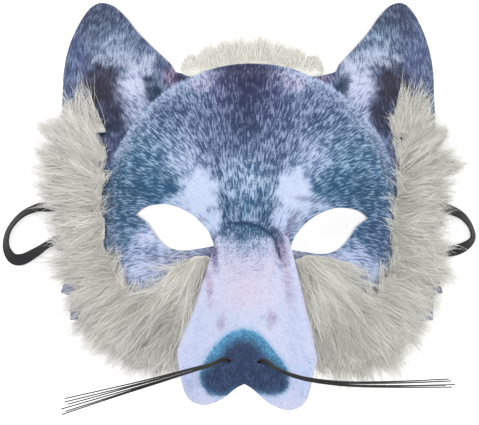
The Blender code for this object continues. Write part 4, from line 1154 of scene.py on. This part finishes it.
def fur_floor(x, y):
    """Surface that fur lies on: the sheet, and past its rim a fall to the table."""
    rim = MASK_WIDTH / 2
    reach = np.hypot(x, y - FACE_CENTRE)
    bearing = np.degrees(np.arctan2(np.abs(x), FACE_CENTRE - y))
    edge = np.where(bearing < 110, rim * (0.80 + 0.20 * ease(30, 75, bearing)), rim * 1.08)
    inner = np.minimum(reach, edge) / np.maximum(reach, 1e-6)
    height = mould_height(x * inner, FACE_CENTRE + (y - FACE_CENTRE) * inner)
    return np.maximum(height - FUR_DROOP * np.maximum(reach - edge, 0), 0.0)


def wisps(name, paths, width, tone, shares):
    """Three-sided tapered wisps along paths (wisps, points, 3), joined in one mesh."""
    count, steps = paths.shape[:2]
    run = np.gradient(paths, axis=1)
    run /= np.maximum(np.linalg.norm(run, axis=2, keepdims=True), 1e-9)
    up = np.tile(np.array([0.0, 0.0, 1.0]), (count, steps, 1))
    across = np.cross(run, up)
    across /= np.maximum(np.linalg.norm(across, axis=2, keepdims=True), 1e-6)
    up = np.cross(across, run)
    taper = (0.75 + 0.6 * shares) * (1 - shares**1.8)
    half = width[:, None] / 2 * taper[None, :]
    body = paths[:, :-1]
    verts = []
    for k in range(3):
        turn = 2 * math.pi * k / 3 + math.pi / 6
        offset = across[:, :-1] * math.cos(turn) + up[:, :-1] * math.sin(turn)
        verts.append(body + offset * half[:, :-1, None])
    rings = np.stack(verts, 2).reshape(count, (steps - 1) * 3, 3)
    block = np.concatenate([rings, paths[:, -1:]], 1)
    size = block.shape[1]
    pattern = []
    for j in range(steps - 2):
        for k in range(3):
            n = (k + 1) % 3
            a, b, c, d = j * 3 + k, j * 3 + n, j * 3 + 3 + n, j * 3 + 3 + k
            pattern += [(a, b, c), (a, c, d)]
    last = (steps - 2) * 3
    pattern += [(last + k, last + (k + 1) % 3, last + 3) for k in range(3)]
    pattern.append((2, 1, 0))
    faces = (np.array(pattern)[None] + (np.arange(count) * size)[:, None, None]).reshape(-1, 3)
    mesh = bpy.data.meshes.new(name)
    mesh.vertices.add(count * size)
    mesh.vertices.foreach_set("co", block.astype(np.float32).ravel())
    mesh.loops.add(len(faces) * 3)
    mesh.loops.foreach_set("vertex_index", faces.astype(np.int32).ravel())
    mesh.polygons.add(len(faces))
    mesh.polygons.foreach_set("loop_start", (np.arange(len(faces)) * 3).astype(np.int32))
    mesh.update(calc_edges=True)
    ring_share = np.repeat(shares[:-1], 3)
    store(mesh, "along", "FLOAT", np.tile(np.append(ring_share, 1.0), count))
    store(mesh, "tone", "FLOAT", np.repeat(tone, size))
    mesh.polygons.foreach_set("use_smooth", np.ones(len(faces), bool))
    made = bpy.data.objects.new(name, mesh)
    bpy.context.scene.collection.objects.link(made)
    activate(made)
    return made


def draw_out(coat, side, amount, squash):
    """Moves the upper inner edge of a cheek's coat outwards, clear of the ear's dark field."""
    turn = SIDES[side]
    points = coordinates(coat.data)
    x, y = (points[:, 0] - PLACE.x) * turn, points[:, 1] - PLACE.y - FACE_CENTRE
    radius = np.maximum(np.hypot(x, y), 1e-6)
    # Only near the edge, and only where it passes the ear
    near = 1 - ease(3 * MM, 18 * MM, apart(np.column_stack([x, y + FACE_CENTRE]), inner_edge(side)))
    grow = 1 + amount * near * ease(32 * MM, 54 * MM, y + FACE_CENTRE) / radius
    x, y = x * grow, y * grow + FACE_CENTRE
    if side == "left":
        least = np.array(read_table(EAR_FUR, y / MM)[0]) * MM + 0.5 * MM
        x = np.where((y > COAT_SHOULDER) & (x > 50 * MM), np.maximum(x, least), x)
    points[:, 0] = x * turn + PLACE.x
    points[:, 1] = np.where(y > COAT_TOP, COAT_TOP + (y - COAT_TOP) * squash, y) + PLACE.y
    points[:, 2] -= 1.5 * MM * (grow - 1) * radius / amount
    coat.data.vertices.foreach_set("co", points.astype(np.float32).ravel())
    coat.data.update()


def undercoat(name, node, material, voxel, shrink):
    """Soft lump under the hairs: the frame's locks, remeshed, rounded and drawn in."""
    deselect()
    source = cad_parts[node]
    mesh = source.data.copy()
    made = bpy.data.objects.new(name, mesh)
    bpy.context.scene.collection.objects.link(made)
    activate(made)
    made.data.materials.clear()
    edit_whole(bpy.ops.mesh.remove_doubles, threshold=0.01 * MM)
    apply_modifier(made, "REMESH", mode="VOXEL", voxel_size=voxel)
    apply_modifier(made, "SMOOTH", factor=0.6, iterations=6)
    shape = bmesh.new()
    shape.from_mesh(made.data)
    shape.normal_update()
    moved = [(vert, vert.co - vert.normal * shrink * max(vert.normal.z, 0.0)) for vert in shape.verts]
    for vert, place in moved:
        vert.co = place
    shape.to_mesh(made.data)
    shape.free()
    made.data.materials.append(material)
    bpy.ops.object.shade_smooth()
    return made


def surface_roots(coat, count, dice, lowest):
    """Points spread evenly over the upper side of a piece, in the mask's own coordinates."""
    mesh = coat.data
    mesh.calc_loop_triangles()
    corners = np.zeros(len(mesh.loop_triangles) * 3, np.int32)
    mesh.loop_triangles.foreach_get("vertices", corners)
    points = coordinates(mesh) - np.array(PLACE)
    a, b, c = (points[corners.reshape(-1, 3)[:, k]] for k in range(3))
    cross = np.cross(b - a, c - a)
    area = np.linalg.norm(cross, axis=1)
    area = np.where(cross[:, 2] > lowest * np.maximum(area, 1e-15), area, 0)
    pick = dice.choice(len(area), count, p=area / area.sum())
    u, v = dice.uniform(0, 1, (2, count, 1))
    over = u + v > 1
    u, v = np.where(over, 1 - u, u), np.where(over, 1 - v, v)
    return a[pick] + (b[pick] - a[pick]) * u + (c[pick] - a[pick]) * v


def height_map(coat, *others):
    """Heights of the pieces' upper sides on a 1 mm grid, as a function of plan position."""
    graph = bpy.context.evaluated_depsgraph_get()
    trees = [BVHTree.FromObject(made, graph) for made in (coat, *others)]
    points = coordinates(coat.data)
    low = points.min(0)[:2] - 30 * MM
    cells = np.ceil((points.max(0)[:2] + 30 * MM - low) / MM).astype(int)
    heights = np.zeros(cells)
    for i in range(cells[0]):
        for j in range(cells[1]):
            spot = Vector((low[0] + i * MM, low[1] + j * MM, 0.3))
            hits = [tree.ray_cast(spot, Vector((0, 0, -1)))[0] for tree in trees]
            heights[i, j] = max([hit.z for hit in hits if hit], default=0.0)

    def read(x, y):
        u = np.clip((x + PLACE.x - low[0]) / MM, 0, cells[0] - 1.001)
        v = np.clip((y + PLACE.y - low[1]) / MM, 0, cells[1] - 1.001)
        i, j = u.astype(int), v.astype(int)
        u, v = u - i, v - j
        near = heights[i, j] * (1 - u) + heights[i + 1, j] * u
        far = heights[i, j + 1] * (1 - u) + heights[i + 1, j + 1] * u
        return near * (1 - v) + far * v

    return read


def cheek_paths(side, coat, ground, count, steps, dice, lifts, hem=False):
    """Paths of a cheek's wisps, gathered in tufts that lie outwards over the frame's locks."""
    turn = SIDES[side]
    column = 0 if side == "left" else 1
    roots = surface_roots(coat, count * (6 if hem else 2), dice, 0.1)
    roots[:, 0] *= turn
    half = snout_half(np.clip(roots[:, 1], -0.09, 0.004))
    roots = roots[(roots[:, 0] > half - 1.5 * MM) | (roots[:, 1] > 6 * MM)]

    def polar(p):
        bearing = np.degrees(np.arctan2(p[:, 0], FACE_CENTRE - p[:, 1]))
        return bearing, np.hypot(p[:, 0], p[:, 1] - FACE_CENTRE)

    edge = inner_edge(side)
    if hem:
        # Only along the inner edge, where the hairs curl up and over the face
        roots = roots[apart(roots, edge) < HEM_BAND]
    roots = roots[:count]
    count = len(roots)
    tufts = roots[dice.choice(count, HEM_TUFTS if hem else TUFTS, replace=False), :2]
    near = np.argmin(((roots[:, None, :2] - tufts[None]) ** 2).sum(2), 1)
    tuft_count = len(tufts)
    sway = dice.normal(0, 13, tuft_count)
    bend = dice.normal(0, 26, tuft_count)
    reach_share = dice.uniform(0.86, 1.10, tuft_count)
    tuft_lift = dice.uniform(0.6, 1.4, tuft_count)

    def lengths(p, share):
        bearing, radius = polar(p)
        if hem:
            return HEM_LENGTH * share
        tips = np.array(read_table(FUR_REACH, bearing)[column]) * FACE_RADIUS
        # A little longer low on the cheek, and shorter up the right side
        share = share + 0.05 * ease(44, 54, bearing) * (1 - ease(70, 80, bearing))
        if side == "right":
            share = share - 0.035 * ease(76, 86, bearing)
        return np.clip(tips * share - radius, 5 * MM, sizes().hair_length) * 1.05

    # Degrees from straight down the picture that each tuft points to
    bearing = polar(tufts)[0]
    inner = 1 - ease(0.0, 13 * MM, apart(tufts, edge))
    upward = ease(98, 120, bearing)
    heading = bearing + sway * (1 - 0.5 * upward) + (28 + 22 * inner) * upward
    heading = heading - 10 * (1 - ease(30, 70, bearing))
    heading = heading + inner * dice.normal(0, 10, tuft_count) * (1 - upward)
    bend = bend * (1 - 0.6 * upward)
    if hem:
        heading = 195 + 24 * dice.normal(0, 1, tuft_count) - 15 * upward
    # The first step is short, so that a hair comes out of the ground at its root
    shares = np.concatenate([[0], np.linspace(0.06, 1, steps - 1)])
    guide = np.zeros((tuft_count, steps, 2))
    guide[:, 0] = tufts
    far = lengths(tufts, reach_share)
    for k in range(1, steps):
        a = np.radians(heading + bend * (shares[k] - 0.3))
        step = far[:, None] * (shares[k] - shares[k - 1])
        guide[:, k] = guide[:, k - 1] + np.column_stack([np.sin(a), -np.cos(a)]) * step
    own = lengths(roots, dice.uniform(0.86, 1.10, count))
    ratio = np.clip(own / far[near], 0.45, 1.6) * dice.uniform(0.72, 1.08, count)
    moves = (guide[near] - guide[near][:, :1]) * ratio[:, None, None]
    offset = roots[:, :2] - tufts[near]
    # A few hairs stand away from their tufts
    astray = dice.uniform(0, 1, count) < STRAY_SHARE
    gather = (0.80 * shares**1.1)[None] * np.where(astray, 0.2, 1.0)[:, None]
    flat = tufts[near][:, None] + moves + offset[:, None] * (1 - gather)[:, :, None]
    # Its tip wanders off to one side, and it curls once on its way
    stray = dice.normal(0, 1, (count, 1, 2)) * np.where(astray, 4.0, 1.3)[:, None, None] * MM
    curl = dice.normal(0, 1, (count, 1, 2)) * 0.9 * MM
    flat = flat + stray * (shares**1.5)[None, :, None]
    flat = flat + curl * np.sin(shares * math.pi * 1.6)[None, :, None]
    x, y = flat[..., 0], flat[..., 1]
    floor = fur_floor(x, y)
    # Each hair rises from its root and comes down again at its tip
    lift = dice.uniform(*lifts, count) * tuft_lift[near] * np.where(astray, 1.5, 1.0)
    lift = lift * np.clip(own / (16 * MM), 0.25, 1.0)
    rise = lift[:, None] * (np.sin(math.pi * np.minimum(shares * 0.92 + 0.02, 1)) ** 0.8)[None]
    z = np.maximum(floor, ground(turn * x, y))
    # A hair can't follow each dip between the locks
    for _ in range(2):
        z[:, 1:-1] = np.maximum(z[:, 1:-1], (z[:, :-2] + z[:, 2:]) / 2)
    z = z + rise + 0.15 * MM
    z[:, 0] -= ROOT_DEPTH
    z = np.maximum(z, 0.25 * MM)
    clear = keep_clear(side, x, y, dice)
    x, y, z, near = x[clear], y[clear], z[clear], near[clear]
    paths = np.stack([turn * x, y, z], 2) + np.array(PLACE)
    return paths, wisp_tones_and_shade(x[:, 0], y[:, 0], near, tuft_count, dice), shares


def keep_clear(side, x, y, dice):
    """Which of a cheek's wisps leave the ruff points, the ear and the eye hole in sight."""
    clear = np.ones(len(x), bool)
    for px, py, room in RUFF_POINTS[side]:
        clear &= (np.hypot(x - px, y - py) > room).all(1)
    if side == "left":
        # The fur thins to a narrow tuft beside the ear's dark field, with a few loose hairs
        near_edge, far_edge = (np.array(edge) * MM for edge in read_table(EAR_FUR, y / MM))
        over = (y > EAR_FOOT) & ((x < near_edge) | (x > far_edge))
        clear &= ~over.any(1) | (dice.uniform(0, 1, len(x)) < LOOSE_SHARE)
    hole = [(SIDES[side] * px, py) for px, py in eye_outline(side, 1.5 * MM)]
    across = inside(np.column_stack([x.ravel(), y.ravel()]), hole).reshape(x.shape)
    return clear & ~across.any(1)


def wisp_tones_and_shade(x, y, near, tuft_count, dice):
    """Brightness of each wisp, by tuft and by patch, and darkened with painted shade beside the
    snout's lower end, which overhangs the fur.
    """
    tone = dice.uniform(0.96, 1.08, tuft_count)[near] * dice.uniform(0.91, 1.10, len(near))
    tone = tone * (1 + 0.05 * ripple(x / MM, y / MM, 16, 15))
    # Painted shade on the fur beside the snout's overhanging lower end
    shade = np.hypot((x - 36 * MM) / (20 * MM), (y + 46 * MM) / (17 * MM))
    return tone * (0.86 + 0.14 * ease(0.2, 1.3, shade))


def inner_edge(side):
    """Points along the fur's inner edge, from the ear's foot round the eye to the snout."""
    points = [(x * FACE_RADIUS, y * FACE_RADIUS, 0) for x, y in FUR_EDGE[side]]
    return [(p.x, p.y) for p in smooth_run(points, 1.5 * MM)]


class MASK_OT_fur(bpy.types.Operator):
    """Long-pile fur on both cheeks and along the forehead's top"""

    bl_idname = "mask.fur"
    bl_label = "Fur"

    def execute(self, context):
        colour, size = colours(), sizes()
        tones = {"left": (colour.fur_left_root, colour.fur_left_tip),
                 "right": (colour.fur_right_root, colour.fur_right_tip)}
        for number, side in enumerate(SIDES):
            root, tip = (tuple(c) for c in tones[side])
            pile = long_pile("acrylic_pile_" + side, root, tip)
            ground = fur_ground("pile_ground_" + side, root)
            coat = undercoat("fur_ground_" + side, "fur_cheek_" + side, ground, 1.7 * MM, 0.6 * MM)
            draw_out(coat, side, *DRAWN_OUT[side])
            dress(coat, "fur_" + side, "fur_cheek_" + side)
            heights = height_map(coat, bpy.data.objects["face_sheet"])
            for layer, share, steps, lifts in FUR_LAYERS:
                dice = np.random.default_rng(40 + number * 10 + len(layer))
                count = int(size.cheek_hairs * share)
                paths, tone, shares = cheek_paths(side, coat, heights, count, steps, dice, lifts,
                                                  hem=layer == "hem")
                width = size.hair_width * dice.uniform(0.6, 1.4, len(paths))
                made = wisps("fur_" + side + "_" + layer, paths, width, tone, shares)
                made.data.materials.append(pile)
                dress(made, "fur_" + side)
        self.crown()
        return {"FINISHED"}

    def crown(self):
        colour, size = colours(), sizes()
        root, tip = tuple(colour.crown_root), tuple(colour.crown_tip)
        ground = fur_ground("pile_ground_crown", root)
        coat = undercoat("fur_ground_crown", "fur_crown", ground, 1.2 * MM, 0.5 * MM)
        dress(coat, "fur_cream", "fur_crown")
        dice = np.random.default_rng(77)
        roots = surface_roots(coat, size.crown_hairs, dice, -0.2)
        count, steps = len(roots), 5
        x0, y0 = roots[:, 0], roots[:, 1]
        radius = np.hypot(x0, y0 - FACE_CENTRE)
        bearing = np.arctan2(x0, y0 - FACE_CENTRE)
        # Pile stands straight up the picture, fanned a little, with a ragged top edge
        ragged = 1 + 0.035 * ripple(x0 / MM, y0 / MM, 9, 8)
        tips = (CROWN_REACH - 16 * MM * (np.abs(bearing) / 0.46) ** 4) * ragged
        length = np.clip(tips * dice.uniform(0.93, 1.05, count) - radius, 3 * MM, 18 * MM)
        shares = np.concatenate([[0], np.linspace(0.08, 1, steps - 1)])
        strides = np.diff(shares, prepend=0)[None]
        turn = (bearing * 0.5 + dice.normal(0, 0.16, count))[:, None]
        turn = turn + dice.normal(0, 0.35, (count, 1)) * shares[None]
        step = length[:, None] * strides
        x = x0[:, None] + np.cumsum(np.sin(turn) * step, 1)
        y = y0[:, None] + np.cumsum(np.cos(turn) * step, 1)
        drop = np.clip(roots[:, 2] - 3 * MM, 0, 20 * MM)[:, None] * (shares**1.6)[None]
        z = roots[:, 2:] + 0.1 * MM + 1.5 * MM * np.sin(math.pi * shares)[None] - 0.55 * drop
        z[:, 0] -= ROOT_DEPTH
        under = mould_height(x, y) - size.sheet_wall * 1.5 - 0.8 * MM
        z = np.where(np.hypot(x, y - FACE_CENTRE) < FACE_RADIUS + 1.5 * MM, np.minimum(z, under), z)
        paths = np.stack([x, y, z], 2) + np.array(PLACE)
        width = size.hair_width * dice.uniform(0.6, 1.2, count)
        made = wisps("fur_crown_pile", paths, width, dice.uniform(0.92, 1.06, count), shares)
        made.data.materials.append(long_pile("acrylic_pile_crown", root, tip))
        dress(made, "fur_cream")


class MASK_OT_whiskers(bpy.types.Operator):
    """Six bristles a side, out of the holes in the nose"""

    bl_idname = "mask.whiskers"
    bl_label = "Whiskers"

    def execute(self, context):
        material = nylon_bristle()
        for side, turn in SIDES.items():
            self.bundle(side, turn, material)
        return {"FINISHED"}

    def bundle(self, side, turn, material):
        wall = sizes().sheet_wall
        hole = Vector(snout_point(turn * WHISKER_ROOT[0], WHISKER_ROOT[1], 0.0))
        out = Vector(snout_point(turn * WHISKER_ROOT[0], WHISKER_ROOT[1], -1.0)) - hole
        length = WHISKER_LENGTHS[side]
        tubes = []
        for place, share, spread_down, spread_up in WHISKER_TIPS:
            place = math.radians(place)
            ring = Vector((math.cos(place), math.sin(place), 0)) * WHISKER_APART
            path = [hole - out * (wall + 1.2 * MM) + ring, hole - out * wall * 0.4 + ring]
            path.append(hole + out * 0.9 * MM + ring + Vector((turn * 0.3 * MM, 0, 0)))
            path.append(hole + out * 2.6 * MM + ring + Vector((turn * 2.2 * MM, -0.6 * MM, 0)))
            for across, down, fall in WHISKER_SWEEP[side]:
                grow = across / WHISKER_SWEEP[side][-1][0]
                path.append(hole + ring + Vector((
                    turn * across * length * share,
                    -down * length + spread_down * WHISKER_FANS[side] * grow**1.5,
                    0.0042 - fall + spread_up * grow**1.5)))
            curve = bpy.data.curves.new("bristle", "CURVE")
            curve.dimensions = "3D"
            curve.bevel_depth = sizes().bristle_width / 2
            curve.bevel_resolution = 2
            curve.use_fill_caps = True
            spline = curve.splines.new("POLY")
            fine = smooth_run(path, 1.6 * MM)
            spline.points.add(len(fine) - 1)
            for k, (point, spot) in enumerate(zip(spline.points, fine)):
                point.co = (*(spot + PLACE), 1)
                point.radius = 1 - 0.2 * k / (len(fine) - 1)
            made = bpy.data.objects.new("bristle", curve)
            bpy.context.scene.collection.objects.link(made)
            activate(made)
            bpy.ops.object.convert(target="MESH")
            tubes.append(bpy.context.object)
        deselect()
        for tube in tubes:
            tube.select_set(True)
        bpy.context.view_layer.objects.active = tubes[0]
        bpy.ops.object.join()
        made = bpy.context.object
        made.name = "bristles_" + side
        made.data.materials.clear()
        made.data.materials.append(material)
        bpy.ops.object.shade_smooth()
        dress(made, "bristle", "whiskers_" + side)


class MASK_OT_elastic(bpy.types.Operator):
    """Flat woven elastic with a loop out past each side"""

    bl_idname = "mask.elastic"
    bl_label = "Elastic"

    def execute(self, context):
        wall = sizes().sheet_wall
        places = []
        for across, up, height, turn in STRAP_ROUTE:
            x, y = across * MASK_WIDTH / 2, up * FACE_RADIUS
            if height == "seat":
                step = 0.4 * MM
                slope = float(mould_height(x + step, y) - mould_height(x - step, y)) / (2 * step)
                depth = wall + CLEARANCE * 2 + STRAP_THICK / 2
                height = float(mould_height(x, y)) - depth * math.hypot(1, slope)
            places.append((x, y, height, math.radians(turn)))
        path = smooth_run([p[:3] for p in places], 1.2 * MM)
        lengths = np.cumsum([0.0] + [(b - a).length for a, b in zip(path, path[1:])])
        turns, walked = [], 0
        for x, y, z, turn in places:
            spot = Vector((x, y, z))
            walked = min(range(walked, len(path)), key=lambda k: (path[k] - spot).length)
            turns.append((lengths[walked], turn))
        # Section from edge to edge and back: share of the width, share of the thickness
        section = ((-0.5, 0.0), (-0.47, -0.42), (-0.25, -0.5), (0.25, -0.5), (0.47, -0.42),
                   (0.5, 0.0), (0.47, 0.42), (0.25, 0.5), (-0.25, 0.5), (-0.47, 0.42))
        sides = len(section)
        verts, faces = [], []
        for k, point in enumerate(path):
            run = (path[min(k + 1, len(path) - 1)] - path[max(k - 1, 0)]).normalized()
            flat = Vector((-run.y, run.x, 0)).normalized()
            up = run.cross(flat)
            turn = float(read_table(turns, lengths[k])[0])
            across = flat * math.cos(turn) + up * math.sin(turn)
            through = run.cross(across)
            drop = abs(across.z) * STRAP_WIDTH / 2 + abs(through.z) * STRAP_THICK / 2
            centre = Vector((point.x, point.y, max(point.z, drop))) + PLACE
            for a, b in section:
                verts.append(centre + across * a * STRAP_WIDTH + through * b * STRAP_THICK)
        for k in range(len(path) - 1):
            for i in range(sides):
                n = (i + 1) % sides
                faces.append((k * sides + i, k * sides + n, (k + 1) * sides + n, (k + 1) * sides + i))
        last = (len(path) - 1) * sides
        faces += [list(range(sides)), list(range(last, last + sides))]
        made = mesh_object("elastic_tape", verts, faces)
        edit_whole(bpy.ops.mesh.normals_make_consistent, inside=False)
        layer = made.data.uv_layers.new(name="weave")
        for loop in made.data.loops:
            k, i = divmod(loop.vertex_index, sides)
            layer.data[loop.index].uv = (section[i][0] * STRAP_WIDTH, lengths[k])
        bpy.ops.object.shade_smooth_by_angle(angle=SMOOTH_ANGLE)
        made.data.materials.append(woven_elastic())
        dress(made, "elastic", "elastic_strap")
        return {"FINISHED"}


class MASK_PT_panel(bpy.types.Panel):
    """Builds the mask piece by piece"""

    bl_idname = "MASK_PT_panel"
    bl_label = "Wolf mask"
    bl_space_type = "VIEW_3D"
    bl_region_type = "UI"
    bl_category = "Mask"

    def draw(self, context):
        for operator in OPERATORS:
            self.layout.operator(operator.bl_idname)
        for group in (context.scene.mask_sizes, context.scene.mask_colours):
            box = self.layout.box()
            for name in group.__annotations__:
                box.prop(group, name)


OPERATORS = (MASK_OT_stage, MASK_OT_face, MASK_OT_snout, MASK_OT_fur, MASK_OT_whiskers,
             MASK_OT_elastic)
CLASSES = (MaskSizes, MaskColours, *OPERATORS, MASK_PT_panel)


def register():
    for item in CLASSES:
        bpy.utils.register_class(item)
    bpy.types.Scene.mask_sizes = PointerProperty(type=MaskSizes)
    bpy.types.Scene.mask_colours = PointerProperty(type=MaskColours)


def unregister():
    del bpy.types.Scene.mask_colours
    del bpy.types.Scene.mask_sizes
    for item in reversed(CLASSES):
        bpy.utils.unregister_class(item)


def main():
    register()
    bpy.ops.mask.stage()
    bpy.ops.mask.face()
    bpy.ops.mask.snout()
    bpy.ops.mask.fur()
    bpy.ops.mask.whiskers()
    bpy.ops.mask.elastic()


if __name__ == "__main__":
    main()
